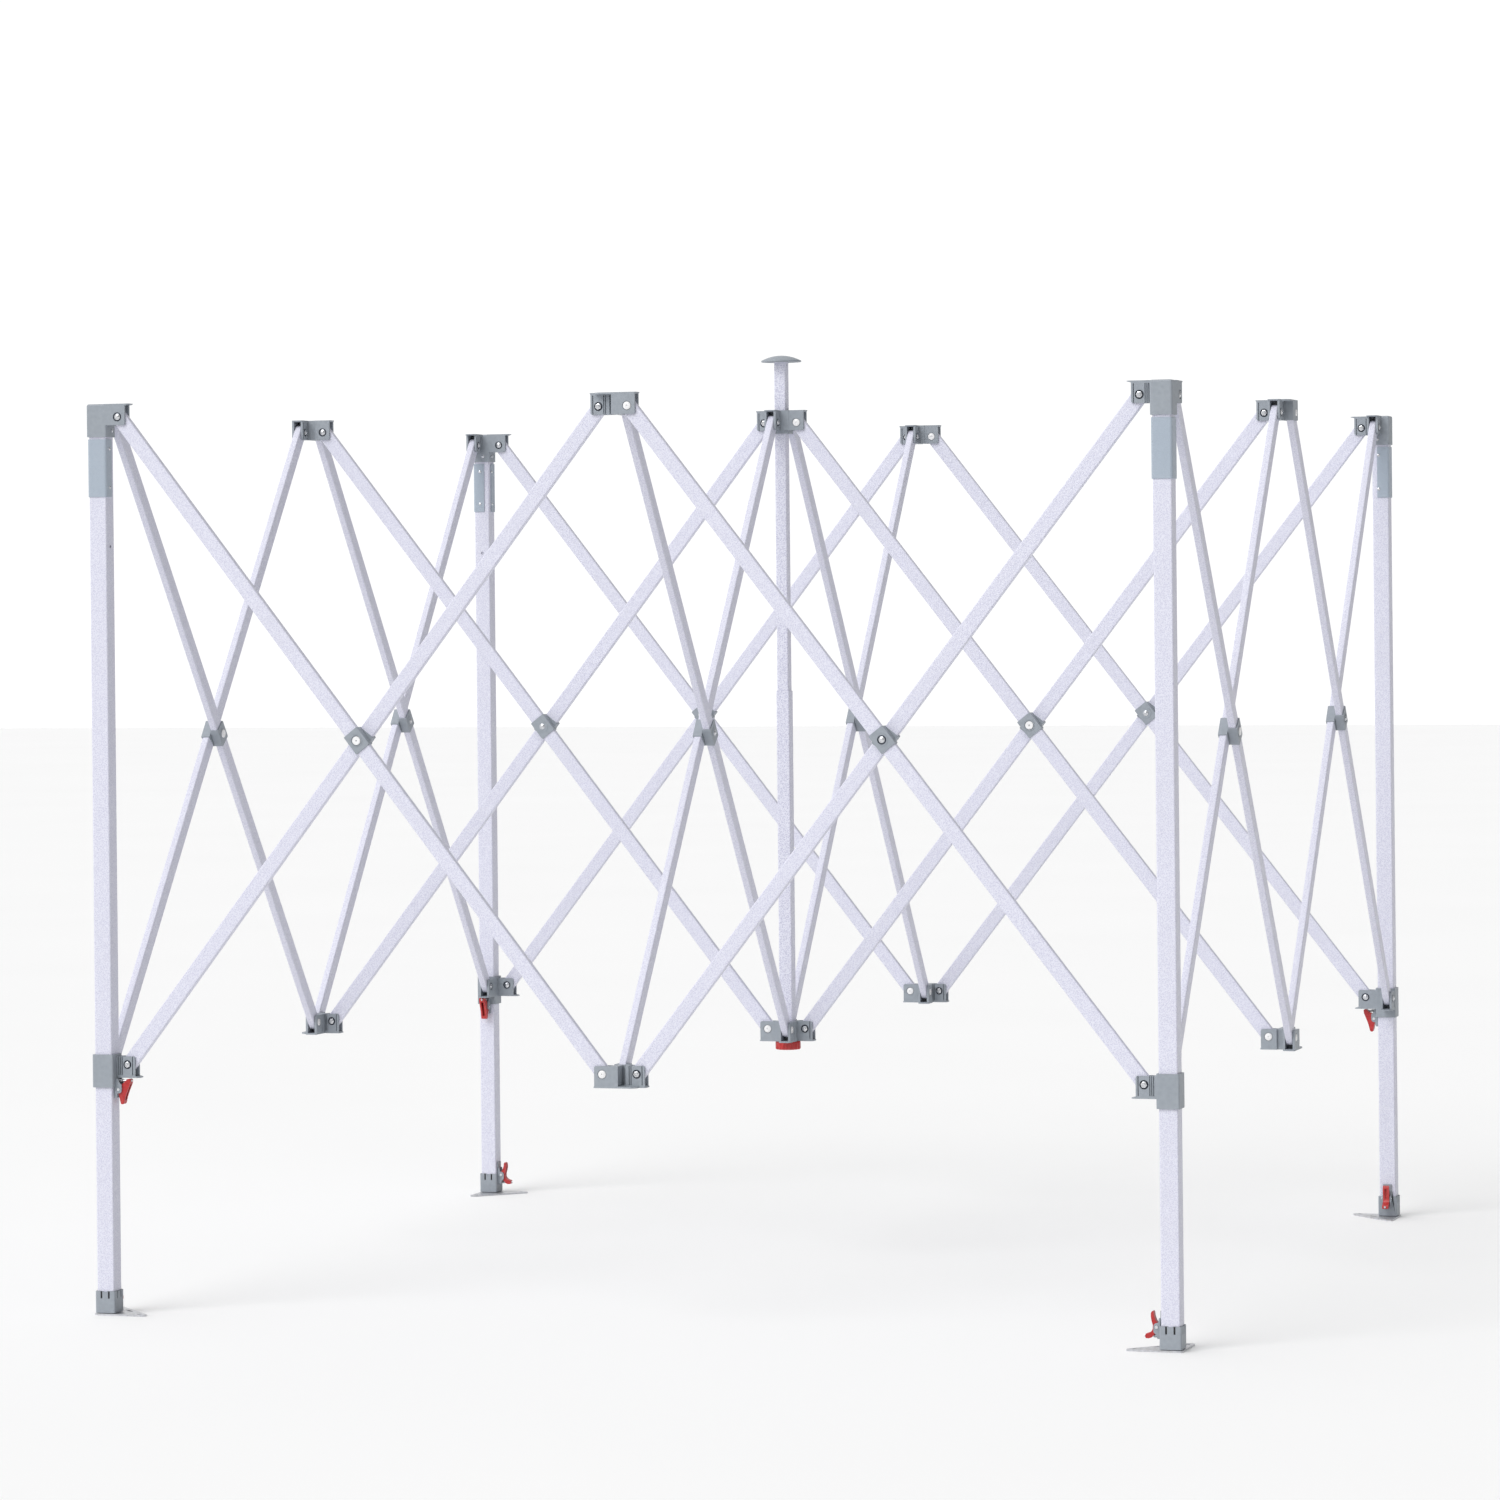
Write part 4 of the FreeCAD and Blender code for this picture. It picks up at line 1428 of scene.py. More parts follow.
@dataclass
class SideBrackets:
    """Three-armed brackets in the middle of each side, at the top and at the bottom.

    Args:
        core: half width of the middle block.
        lip: flange past each fork.
        pocket: limits along X of the deep pocket beside the flush fork.
        ledge: flange over the recessed fork, past its pivot.
    """

    core: float = 14.0
    lip: float = 2.0
    pocket: Span = (-8.2, -0.8)
    ledge: float = 4.0

    def bracket(self, upward: bool) -> Bracket:
        """Bracket of the front side, about the middle of its line of legs.

        Args:
            upward: True for the top bracket.

        Returns:
            The bracket, with its pivots at height 0.
        """
        side = 1 if upward else -1
        plane = LAYOUT.plane
        zs = (-FORK.open_side, FORK.headroom + FORK.flange)
        block = Solid.box((-self.core, self.core), (-plane - FORK.half, LAYOUT.inner - FORK.reach), zs)
        inner = Head.BOLT_END if upward else Head.WASHER
        forks = [
            Fork(2, -LAYOUT.middle, side * plane, FORK.reach + 1, -side, self.lip),
            Fork(0, LAYOUT.middle, -side * plane, FORK.reach + 1, -side, self.lip),
            Fork(1, side * plane, LAYOUT.inner, FORK.reach + 1, -side, self.lip, inner),
        ]
        ys = (-plane - FORK.half - 1, plane - FORK.half)
        recess = Solid.box((-40, 0), ys, (-60, FORK.headroom))
        pocket = Solid.box(self.pocket, (ys[1] - 1, ys[1] + 11), (-60, FORK.headroom - 1))
        tip = -LAYOUT.middle - self.ledge
        near, far = ys[0] + 1, ys[1] + 1
        outline = [(1, near), (tip + 9, near), (tip, near + 9), (tip, far), (1, far)]
        ledge = Solid.prism(outline, FORK.headroom, FORK.headroom + FORK.flange, Axis.Z)
        cuts = [recess, pocket]
        if not upward:
            over = FLIP @ Matrix.Scale(-1, 4, (1, 0, 0))
            cuts, ledge = [cut.placed(over) for cut in cuts], ledge.placed(over)
        return Bracket([block], forks, upward, cuts, [ledge])

    def build(self, shop: Workshop) -> None:
        """Make all eight side brackets.

        Args:
            shop: where the pieces are finished.
        """
        for upward, level, height in ((True, "top", LAYOUT.top), (False, "bottom", LAYOUT.low)):
            bracket = self.bracket(upward)
            solid, spots = bracket.solid(), bracket.spots()
            for side, name in enumerate(SIDES):
                body = f"mid_bracket_{level}_{name}"
                stand = quarter(side) @ shift(0, -LAYOUT.half_side, height)
                label = f"side_bracket_{level}_{name}"
                shop.piece(label, solid.placed(stand), shop.palette.grey, body, body)
                shop.fasteners(body, [spot.moved(stand) for spot in spots])


@dataclass
class CentrePole:
    """Hubs, telescoping pole, domed cap and knob.

    Args:
        lower: lower pole's width.
        upper: upper pole's width.
        wall: wall of both.
        corner: radius of their corners.
        guide: half width and depth of the guide under the top hub.
        bore: half width of the top hub's bore.
        cap_radius: the cap's radius.
        knob_radius: the knob's radius.
        flutes: count of the knob's flutes.
        flute_depth: their depth.
    """

    lower: float = 25.0
    upper: float = 22.0
    wall: float = 1.0
    corner: float = 2.4
    guide: Span = (16.75, 6.0)
    bore: float = 13.25
    cap_radius: float = 37.5
    knob_radius: float = 23.5
    flutes: int = 20
    flute_depth: float = 1.5

    def hub(self, upward: bool) -> Bracket:
        """Four-armed hub, its arms beside the centre lines like a pinwheel.

        Args:
            upward: True for the top hub.

        Returns:
            The hub, with its pivots at height 0.
        """
        half = LAYOUT.hub - FORK.reach
        zs = (-FORK.open_side, FORK.headroom + FORK.flange)
        offset = -LAYOUT.plane if upward else LAYOUT.plane
        forks = []
        for turns in range(4):
            pivot = quarter(turns) @ Vector((offset, -LAYOUT.hub, 0))
            side = -1 if upward else 1
            forks.append(Fork(turns + 3, pivot.x, pivot.y, FORK.reach + 1, side, 2.0, grooves=0))
        if upward:
            guide_half, depth = self.guide
            neck = square(guide_half, (-FORK.open_side - depth, 0))
            bore = square(self.bore, (-80, 80))
            return Bracket([square(half, zs)], forks, True, [bore], [neck], 0.8)
        seat = square(self.lower / 2, (-15, 60))
        return Bracket([square(half, zs)], forks, False, [seat], [], 0.8)

    def pole(self, width: float, node: str) -> Solid:
        """Square tube that fills the height of its CAD node.

        Args:
            width: the tube's width.
            node: the CAD node.

        Returns:
            The tube in place.
        """
        low, high = (corner.z / MILLIMETRE for corner in map(Vector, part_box(node)))
        outer = rounded(width / 2, width / 2, self.corner)
        bore = width / 2 - self.wall
        return Solid.ring(outer, rounded(bore, bore, self.corner - self.wall), low, high)

    def cap(self) -> Solid:
        """Domed cap with a thin rim, hollow underneath.

        Returns:
            The cap in place.
        """
        low, high = (Vector(corner).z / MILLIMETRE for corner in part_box("pole_cap"))
        rise = high - low
        full = self.cap_radius
        profile = [(0, low + 0.1), (self.upper * 0.8, low + 0.1), (self.upper * 0.86, low + 2.2)]
        profile += [(full - 5, low + 1.8), (full - 2.2, low + 0.2), (full - 0.8, low)]
        profile += [(full, low + 1.0), (full - 0.3, low + 2.6)]
        steps = 12
        for step in range(1, steps + 1):
            share = step / steps
            radius = (full - 0.3) * (1 - share)
            profile.append((radius, low + 2.6 + (rise - 2.6) * (1 - (1 - share) ** 2.1)))
        return Solid.turned(profile, 72)

    def knob(self) -> Solid:
        """Fluted knob with a soft top and bottom edge.

        Returns:
            The knob and its stud in place.
        """
        low, high = (Vector(corner).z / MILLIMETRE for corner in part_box("pole_knob"))
        top = LAYOUT.low - FORK.headroom - FORK.flange - 0.4
        lower = ((low, 0.93), (low + 1.5, 0.995), (low + 3.0, 1.0))
        upper = ((top - 3.0, 1.0), (top - 1.0, 0.985), (top, 0.95))
        loops = []
        steps = self.flutes * 10
        for level, scale in lower + upper:
            loop = []
            for step in range(steps):
                angle = math.tau * step / steps
                wave = 0.5 + 0.5 * math.cos(angle * self.flutes)
                radius = (self.knob_radius - self.flute_depth * wave ** 2) * scale
                loop.append((*polar(radius, angle), level))
            loops.append(loop)
        body = Solid.lofted(loops)
        stud = Solid.rod(5.0, (0, 0), top - 1, high, Axis.Z)
        dish = Solid.turned([(0, low - 1), (14.5, low - 1), (14.0, low + 1.2), (0, low + 1.6)])
        return body.cut(dish).beside(stud)

    def build(self, shop: Workshop) -> None:
        """Make the hubs, the poles, the cap and the knob.

        Args:
            shop: where the pieces are finished.
        """
        palette = shop.palette
        for upward, node, height in ((True, "hub_top", LAYOUT.top), (False, "hub_bottom", LAYOUT.low)):
            hub = self.hub(upward)
            stand = shift(0, 0, height)
            shop.piece(f"centre_{node}", hub.solid().placed(stand), palette.grey, node, node)
            shop.fasteners(node, [spot.moved(stand) for spot in hub.spots()])
        lower = self.pole(self.lower, "pole_lower")
        shop.piece("lower_pole", lower, palette.pole, "hub_bottom", "pole_lower")
        hole_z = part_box("pole_cap")[0][2] / MILLIMETRE - 5.0
        pin_hole = Solid.rod(2.0, (0, hole_z), 0, 30, Axis.X)
        upper = self.pole(self.upper, "pole_upper").cut(pin_hole)
        shop.piece("upper_pole", upper, palette.pole, "pole_upper", "pole_upper")
        shop.piece("peak_cap", self.cap(), palette.grey, "pole_upper", "pole_cap")
        shop.piece("tension_knob", self.knob(), palette.red, "pole_knob", "pole_knob")


WEDGE_LEVER = (
    (-4.5, 2.0), (1.0, 6.5), (9.0, 12.0), (15.0, 18.0), (18.5, 18.5), (21.0, 17.0), (21.0, 12.5),
    (19.5, 8.0), (16.5, 1.0), (13.5, -6.5), (11.0, -14.0), (9.6, -20.0), (8.8, -23.5),
    (7.2, -25.4), (5.0, -25.9), (3.0, -24.8), (1.6, -20.0), (-0.6, -10.0), (-4.5, -3.0),
)
FINGER_LEVER = (
    (-4.5, 2.0), (-1.0, 7.0), (4.5, 12.0), (9.5, 17.5), (14.0, 19.0), (19.0, 18.5), (20.0, 15.0),
    (19.0, 11.5), (14.0, 10.0), (9.5, 7.5), (7.2, 3.5), (7.0, -3.0), (9.0, -10.0), (10.2, -17.0),
    (10.0, -22.0), (8.6, -25.2), (6.8, -25.9), (5.4, -24.0), (4.6, -18.0), (2.0, -10.0), (-4.5, -3.0),
)


@dataclass
class Corner:
    """One leg with everything on it, drawn for the front left corner.

    Args:
        tube: outer leg's width.
        inner_tube: inner leg's width.
        wall: wall of both tubes.
        round: radius of their corners.
        sleeve: half width of the corner bracket's sleeve.
        bracket_height: height of the corner bracket.
        slider_bore: half width of the slider's bore.
        slider_span: limits of the slider's sleeve from the lower pivots' height.
        lip: flange past each fork.
        collar: half width of the collar.
        collar_span: heights of the collar's ends.
        plate: thickness of the foot plate.
        plate_edge: length of its long edges.
        plate_tip: width of its ends.
        band: thickness of the hook-and-loop band.
        band_height: the band's height.
        band_drop: gap between the corner bracket and the band.
        lever_width: width of both levers.
        lock_pin: radius of the lock pins.
        lock_rise: height of a lock pin over its lever's pivot.
        lock_reach: the lock pins' outer end, from the outer leg's face.
        lever_boss: radius of a lever round its pivot.
        pin_head: radius of a pivot pin's peened ends.
        ear: thickness of a lever's cheek.
        collar_slots: places of the collar's slots across each face.
        slot_half: half their width.
        slot_sink: their depth.
        slot_drop: their length down from the collar's top.
        stake_hole: radius of the foot plate's stake holes.
        stake_place: their distances from the plate's end and from its edge.
        strap_slot: half the length and half the width of the plate's slot.
        lock_hole: radius of the legs' lock holes.
        lock_below: depth of the outer leg's lock hole under the open slider's pivots.
        hole_pitch: distance between the inner leg's lock holes.
        foot_lock_z: height of the foot lever's lock pin.
        overlap: how far the inner leg ends below the outer leg's top.
        roof: thickness of the corner bracket's top.
        top: height of the corner bracket's top, read from the frame.
        lever_out: distance of the levers' pivots from the leg's axis, read likewise.
        slider_lever_z: height of the slider lever's pivot, read likewise.
        foot_lever_z: height of the foot lever's pivot, read likewise.
    """

    tube: float = 32.0
    inner_tube: float = 27.0
    wall: float = 1.0
    round: float = 2.6
    sleeve: float = 19.0
    bracket_height: float = 57.0
    slider_bore: float = 16.5
    slider_span: Span = (-39.0, 18.0)
    lip: float = 8.0
    collar: float = 18.5
    collar_span: Span = (4.0, 42.0)
    plate: float = 3.0
    plate_edge: float = 94.0
    plate_tip: float = 12.0
    band: float = 1.8
    band_height: float = 100.0
    band_drop: float = 4.0
    lever_width: float = 12.0
    lock_pin: float = 2.0
    lock_rise: float = 15.0
    lock_reach: float = 31.0
    lever_boss: float = 5.0
    pin_head: float = 2.7
    ear: float = 2.5
    collar_slots: Span = (-7.0, 7.0)
    slot_half: float = 1.5
    slot_sink: float = 2.0
    slot_drop: float = 13.0
    stake_hole: float = 4.5
    stake_place: Span = (13.0, 9.0)
    strap_slot: Span = (13.0, 2.5)
    lock_hole: float = 3.0
    lock_below: float = 28.0
    hole_pitch: float = 100.0
    foot_lock_z: float = 24.0
    overlap: float = 170.0
    roof: float = 3.0
    top: float = field(init=False)
    lever_out: float = field(init=False)
    slider_lever_z: float = field(init=False)
    foot_lever_z: float = field(init=False)

    def __post_init__(self) -> None:
        """Read the heights that the frame gives."""
        self.top = Vector(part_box("leg_front_left")[1]).z / MILLIMETRE
        slider_lever = joint_place("slider_lever_front_left")
        self.lever_out = slider_lever.x + LAYOUT.half_side
        self.slider_lever_z = slider_lever.z
        self.foot_lever_z = joint_place("foot_lever_front_left").z

    @property
    def inner_top(self) -> float:
        """Height of the inner leg's top end."""
        return self.top - self.roof - self.overlap

    def tube_solid(self, width: float, low: float, high: float) -> Solid:
        """Square tube about the leg's axis.

        Args:
            width: its width.
            low: height of its lower end.
            high: height of its upper end.

        Returns:
            The tube.
        """
        bore = width / 2 - self.wall
        outer = rounded(width / 2, width / 2, self.round)
        return Solid.ring(outer, rounded(bore, bore, self.round - self.wall), low, high)

    def window(self, z: float, upward: bool) -> Solid:
        """Opening on the +X face for a lock pin.

        Args:
            z: height of the lock pin.
            upward: True leaves more room above it.

        Returns:
            The solid to cut away.
        """
        low, high = (z - 4.0, z + 4.5) if upward else (z - 4.5, z + 4.0)
        return Solid.box((4, 40), (-3.5, 3.5), (low, high))

    def outer_leg(self) -> Solid:
        """Outer leg with its lock hole and window.

        Returns:
            The solid in place.
        """
        pin_z = LAYOUT.top - LAYOUT.bar_length * math.sin(OPEN_SLOPE) - self.lock_below
        hole = Solid.rod(self.lock_hole, (0, pin_z), 0, 30, Axis.X)
        foot = self.window(self.foot_lock_z, False).placed(quarter(1))
        low = self.collar_span[0] + 3.0
        return self.tube_solid(self.tube, low, self.top - self.roof).cut(hole, foot)

    def corner_bracket(self) -> Bracket:
        """Cap and sleeve on the leg's top.

        Returns:
            The bracket, with its pivots at height 0.
        """
        rise = self.top - LAYOUT.top
        flush = LAYOUT.plane + FORK.half
        loops = []
        for down, inset in ((self.bracket_height, 0.0), (3.2, 0.0), (1.6, 0.45), (0.5, 1.5), (0.0, 3.0)):
            outline = rounded(flush - inset, flush - inset, 3.4 - inset / 2)
            loops.append([(x, y, rise - down) for x, y in outline])
        core = Solid.lofted(loops)
        back, plane = LAYOUT.corner - FORK.reach, LAYOUT.plane
        forks = [
            Fork(0, LAYOUT.corner, -plane, back, -1, self.lip, Head.BOLT_END, 3),
            Fork(1, plane, LAYOUT.corner, back, -1, self.lip, Head.BOLT_END, 3),
        ]
        seat = square(self.tube / 2 + SNUG, (-90, rise - self.roof))
        return Bracket([core], forks, True, [seat])

    def slider(self) -> Bracket:
        """Sleeve that runs on the leg.

        Returns:
            The slider, with its pivots at height 0.
        """
        low, high = self.slider_span
        outline = rounded(self.slider_bore + 3, self.slider_bore + 3, 3.0)
        core = Solid.prism(outline, low, high, Axis.Z)
        back, plane = LAYOUT.corner - FORK.reach, LAYOUT.plane
        forks = [
            Fork(0, LAYOUT.corner, plane, back, 1, self.lip, Head.BOLT_END, 3),
            Fork(1, -plane, LAYOUT.corner, back, -1, self.lip, Head.BOLT_END, 3),
        ]
        lever_z = self.slider_lever_z - LAYOUT.low
        room = square(self.slider_bore, (-90, 90))
        cuts = [room, self.window(lever_z + self.lock_rise, True)]
        return Bracket([core.placed(FLIP)], forks, False, cuts, self.lever_ears(lever_z, True))

    def lever_ears(self, z: float, upward: bool) -> list[Solid]:
        """Two cheeks on the +X face that hold a lever.

        Args:
            z: height of the lever's pivot.
            upward: True when the lock pin is above it.

        Returns:
            The two cheeks.
        """
        out = self.lever_out
        face = self.tube / 2 + 1.0
        flip = 1 if upward else -1
        outline = [(face, -15), (out - 4, -15), (out - 2.5, -7), (out + 1.5, -6.5), (out + 4.5, -4.5)]
        outline += [(out + 5.5, -1), (out + 5.5, 8), (out + 1, 13), (out - 1, 19), (face, 19)]
        points = [(x, z + flip * height) for x, height in outline]
        inside = self.lever_width / 2 + RUNNING
        hole = Solid.rod(PIN_HOLE_R, (out, z), -30, 30, Axis.Y, sides=20)
        ears = []
        for side in (-1, 1):
            ys = span(side, inside, inside + self.ear)
            ears.append(Solid.prism(points, *ys, Axis.Y).cut(hole))
        return ears

    def lever_pin(self, z: float) -> Solid:
        """Pivot pin of a lever, with two peened ends.

        Args:
            z: its height.

        Returns:
            The pin.
        """
        reach = self.lever_width / 2 + RUNNING + self.ear + 0.5
        pin = Solid.rod(PIN_R, (self.lever_out, z), -reach, reach, Axis.Y, sides=24)
        heads = []
        for side in (-1, 1):
            ys = span(side, reach - 0.5, reach + 0.7)
            head = Solid.rod(self.pin_head, (self.lever_out, z), *ys, Axis.Y, sides=24)
            heads.append(head.eased(0.3))
        return pin.beside(*heads)

    def collar_solid(self) -> Solid:
        """Moulding at the leg's lower end.

        Returns:
            The collar in place.
        """
        low, high = self.collar_span
        outline = rounded(self.collar, self.collar, 3.0)
        body = Solid.prism(outline, low, high, Axis.Z)
        ears = [ear.placed(quarter(1)) for ear in self.lever_ears(self.foot_lever_z, False)]
        plate_y = Solid.box((-8.9, 8.9), (self.tube / 2, self.collar), (high - 4, high + 24))
        leg_room = square(self.tube / 2 + SNUG, (low + 3, 90))
        inner_room = square(self.inner_tube / 2 + 0.5, (-10, 90))
        cuts = [leg_room, inner_room, self.window(self.foot_lock_z, False).placed(quarter(1))]
        for turns in (0, 2, 3):
            for across in self.collar_slots:
                ys = (across - self.slot_half, across + self.slot_half)
                slot = Solid.box((self.collar - self.slot_sink, 30), ys, (high - self.slot_drop, high + 5))
                cuts.append(slot.placed(quarter(turns)))
            notch = Solid.box((10, 30), (-3.0, 3.0), (high - 1.0, high + 5))
            cuts.append(notch.placed(quarter(turns)))
        return body.joined(plate_y, *ears).cut(*cuts).eased(0.7)

    def painted_shade_strips(self) -> Solid:
        """Dark strips at the bottom of the collar's slots, painted shade that stands in for the shadow in
        them.

        Returns:
            All strips in one solid.
        """
        high = self.collar_span[1]
        strips = []
        for turns in (0, 2, 3):
            for across in self.collar_slots:
                xs = (self.collar - self.slot_sink - 0.1, self.collar - 1.3)
                ys = (across - self.slot_half + 0.1, across + self.slot_half - 0.1)
                strip = Solid.box(xs, ys, (high - self.slot_drop + 0.1, high - 0.8))
                strips.append(strip.eased(0.2).placed(quarter(turns)))
        return strips[0].beside(*strips[1:])

    def lever(self, tube_face: float, outline: Sequence[Point], groove: Span) -> tuple[Solid, Solid]:
        """Lock lever with its finger down and its pivot at height 0.

        Args:
            tube_face: the tube's face that the lock pin meets, from the leg's axis.
            outline: the crank's outline from its pivot.
            groove: start of the outer groove from the pivot, and its top.

        Returns:
            The red crank and the bright pin.
        """
        out = self.lever_out
        half = self.lever_width / 2
        crank = Solid.prism([(out + x, z) for x, z in outline], -half, half, Axis.Y)
        boss = Solid.rod(self.lever_boss, (out, 0), -half, half, Axis.Y)
        slot = Solid.box((out + groove[0], out + 40), (-2.6, 2.6), (-19, groove[1]))
        pin_room = Solid.rod(self.lock_pin + 0.1, (0, self.lock_rise), 0, 90, Axis.X, sides=24)
        pivot_room = Solid.rod(PIN_HOLE_R, (out, 0), -30, 30, Axis.Y, sides=24)
        red = crank.joined(boss).cut(slot, pin_room, pivot_room).eased(0.8)
        pin_end = self.tube / 2 + self.lock_reach
        near = tube_face + 0.3
        pin = Solid.rod(self.lock_pin, (0, self.lock_rise), near, pin_end, Axis.X, sides=24)
        return red, pin.eased(0.5)

    def foot_plate(self) -> Solid:
        """Thin three-cornered plate under the leg.

        Returns:
            The plate in place.
        """
        corner = -(self.collar + 1.5)
        far = corner + self.plate_edge
        tip = corner + self.plate_tip
        outline = [(corner + 2.5, corner), (far - 3, corner), (far, corner + 3)]
        outline += [(far, tip - 2), (far - 1.5, tip + 1.5)]
        outline += [(y, x) for x, y in reversed(outline)]
        plate = Solid.prism(outline, 0, self.plate, Axis.Z)
        stake, line = far - self.stake_place[0], corner + self.stake_place[1]
        places = ((stake, line), (line, stake))
        holes = [Solid.rod(self.stake_hole, place, -1, 5, Axis.Z, sides=32) for place in places]
        middle = (far + tip) / 2 - 7.0
        slot = Solid.prism(rounded(*self.strap_slot, 2.4), -1, 5, Axis.Z)
        holes.append(slot.placed(shift(middle, middle, 0) @ Matrix.Rotation(-QUARTER / 2, 4, "Z")))
        return plate.cut(*holes).eased(0.5)

    def inner_leg(self) -> Solid:
        """Telescoping tube with its row of lock holes.

        Returns:
            The tube in place.
        """
        holes = []
        for step in range(7):
            height = self.foot_lock_z + self.hole_pitch * step
            holes.append(Solid.rod(self.lock_hole, (0, height), 0, 20, Axis.Y, sides=24))
        return self.tube_solid(self.inner_tube, self.plate, self.inner_top).cut(*holes)

    def guide(self) -> Solid:
        """Plastic guide on the inner leg's upper end, with two grooves round it.

        Returns:
            The guide in place.
        """
        low = self.inner_top
        half = self.tube / 2 - self.wall - 0.3
        body = Solid.prism(rounded(half, half, 1.2), low, low + 30, Axis.Z)
        grooves = []
        for level in (8.0, 20.0):
            zs = (low + level, low + level + 3)
            grooves.append(Solid.ring(rounded(20, 20, 1.0), rounded(half - 1, half - 1, 1.0), *zs))
        return body.cut(*grooves).eased(0.4)

    def band_solid(self) -> Solid:
        """Hook-and-loop band round the two outer faces, its edges on the inner ones.

        Returns:
            The band in place.
        """
        high = self.top - self.bracket_height - self.band_drop
        low = high - self.band_height
        inner_half = self.tube / 2 + SNUG
        outer_half = self.tube / 2 + self.band
        edge = 6.0
        outline_out, outline_in = [], []
        for index, (side_x, side_y) in enumerate(((-1, 1), (-1, -1), (1, -1))):
            for step in range(7):
                angle = QUARTER * (index + 1 + step / 6)
                for half, radius, outline in (
                    (outer_half, self.round + self.band, outline_out),
                    (inner_half, self.round, outline_in),
                ):
                    centre = (side_x * (half - radius), side_y * (half - radius))
                    outline.append(polar(radius, angle, centre))
        outline_out = [(edge, outer_half)] + outline_out + [(outer_half, edge)]
        outline_in = [(edge, inner_half)] + outline_in + [(inner_half, edge)]
        outline = outline_out + list(reversed(outline_in))
        return Solid.prism(outline, low, high, Axis.Z).eased(0.5, 2, 60)

    def trim_spots(self) -> list[Spot]:
        """Rivets of the band and screws of the bracket, on the two inner faces.

        Returns:
            The spots.
        """
        spots = []
        bracket_low = self.top - self.bracket_height
        band_top = bracket_low - self.band_drop
        face = self.tube / 2 + self.band
        for z in (band_top - self.band_height / 6, band_top - self.band_height * 5 / 6):
            spots.append(Spot(Head.RIVET, Vector((face, -3, z)), Vector((1, 0, 0))))
            spots.append(Spot(Head.RIVET, Vector((3, face, z)), Vector((0, 1, 0))))
        z = bracket_low + self.bracket_height / 5
        spots.append(Spot(Head.SCREW, Vector((self.sleeve, 5, z)), Vector((1, 0, 0))))
        spots.append(Spot(Head.SCREW, Vector((5, self.sleeve, z)), Vector((0, 1, 0))))
        return spots

    def build(self, shop: Workshop) -> None:
        """Make all four corners.

        Args:
            shop: where the pieces are finished.
        """
        palette = shop.palette
        bracket, slider = self.corner_bracket(), self.slider()
        up, down = shift(0, 0, LAYOUT.top), shift(0, 0, LAYOUT.low)
        to_foot = shift(0, 0, self.foot_lever_z) @ quarter(1) @ FLIP
        to_slider = shift(0, 0, self.slider_lever_z)
        slider_lever = self.lever(self.tube / 2, WEDGE_LEVER, (4.6, 9.5))
        foot_lever = self.lever(self.inner_tube / 2, FINGER_LEVER, (5.2, 0.0))
        leg_spots = [spot.moved(up) for spot in bracket.spots()] + self.trim_spots()
        slider_spots = [spot.moved(down) for spot in slider.spots()]
        foot_pivot = self.lever_pin(self.foot_lever_z).placed(quarter(1))
        spring = shift(self.lever_out - 4.5, 0, self.lock_rise) @ Matrix.Rotation(QUARTER, 4, "Y")
        slider_red, slider_pin = (solid.placed(to_slider) for solid in slider_lever)
        foot_red, foot_pin = (solid.placed(to_foot) for solid in foot_lever)
        steel, grey, red = Slot.STEEL, Slot.GREY, Slot.RED
        parts = [
            ("leg", "outer_leg", self.outer_leg(), palette.coat, steel),
            ("leg", "corner_bracket", bracket.solid().placed(up), palette.grey, grey),
            ("leg", "foot_collar", self.collar_solid(), palette.grey, grey),
            # painted shade: dark strips in the collar's slots
            ("leg", "collar_strips", self.painted_shade_strips(), palette.slot_shade, grey),
            ("leg", "foot_lever_pin", foot_pivot, palette.zinc, steel),
            ("leg", "fabric_band", self.band_solid(), palette.band, grey),
            ("slider", "slider_body", slider.solid().placed(down), palette.grey, grey),
            ("slider", "slider_lever_pin", self.lever_pin(self.slider_lever_z), palette.zinc, steel),
            ("inner_leg", "inner_tube", self.inner_leg(), palette.coat, steel),
            ("inner_leg", "tube_guide", self.guide(), palette.grey, grey),
            ("inner_leg", "foot_plate", self.foot_plate(), palette.plate, steel),
            ("slider_lever", "slider_catch", slider_red, palette.red, red),
            ("slider_lever", "slider_lock_pin", slider_pin, palette.zinc, steel),
            ("foot_lever", "foot_catch", foot_red, palette.red, red),
            ("foot_lever", "foot_lock_pin", foot_pin, palette.zinc, steel),
        ]
        kinds = [part[0] for part in parts]
        for turns, corner in enumerate(CORNERS):
            stand = quarter(turns) @ shift(-LAYOUT.half_side, -LAYOUT.half_side, 0)
            for index, (kind, label, solid, finish, slot) in enumerate(parts):
                body = f"{kind}_{corner}"
                stands_for = body if kinds.index(kind) == index else ""
                shop.piece(f"{label}_{corner}", solid.placed(stand), finish, body, stands_for)
            shop.fasteners(f"leg_{corner}", [spot.moved(stand) for spot in leg_spots])
            shop.fasteners(f"slider_{corner}", [spot.moved(stand) for spot in slider_spots])
            shop.spring(f"slider_spring_{corner}", f"slider_lever_{corner}", stand @ to_slider @ spring)
            shop.spring(f"foot_spring_{corner}", f"foot_lever_{corner}", stand @ to_foot @ spring)


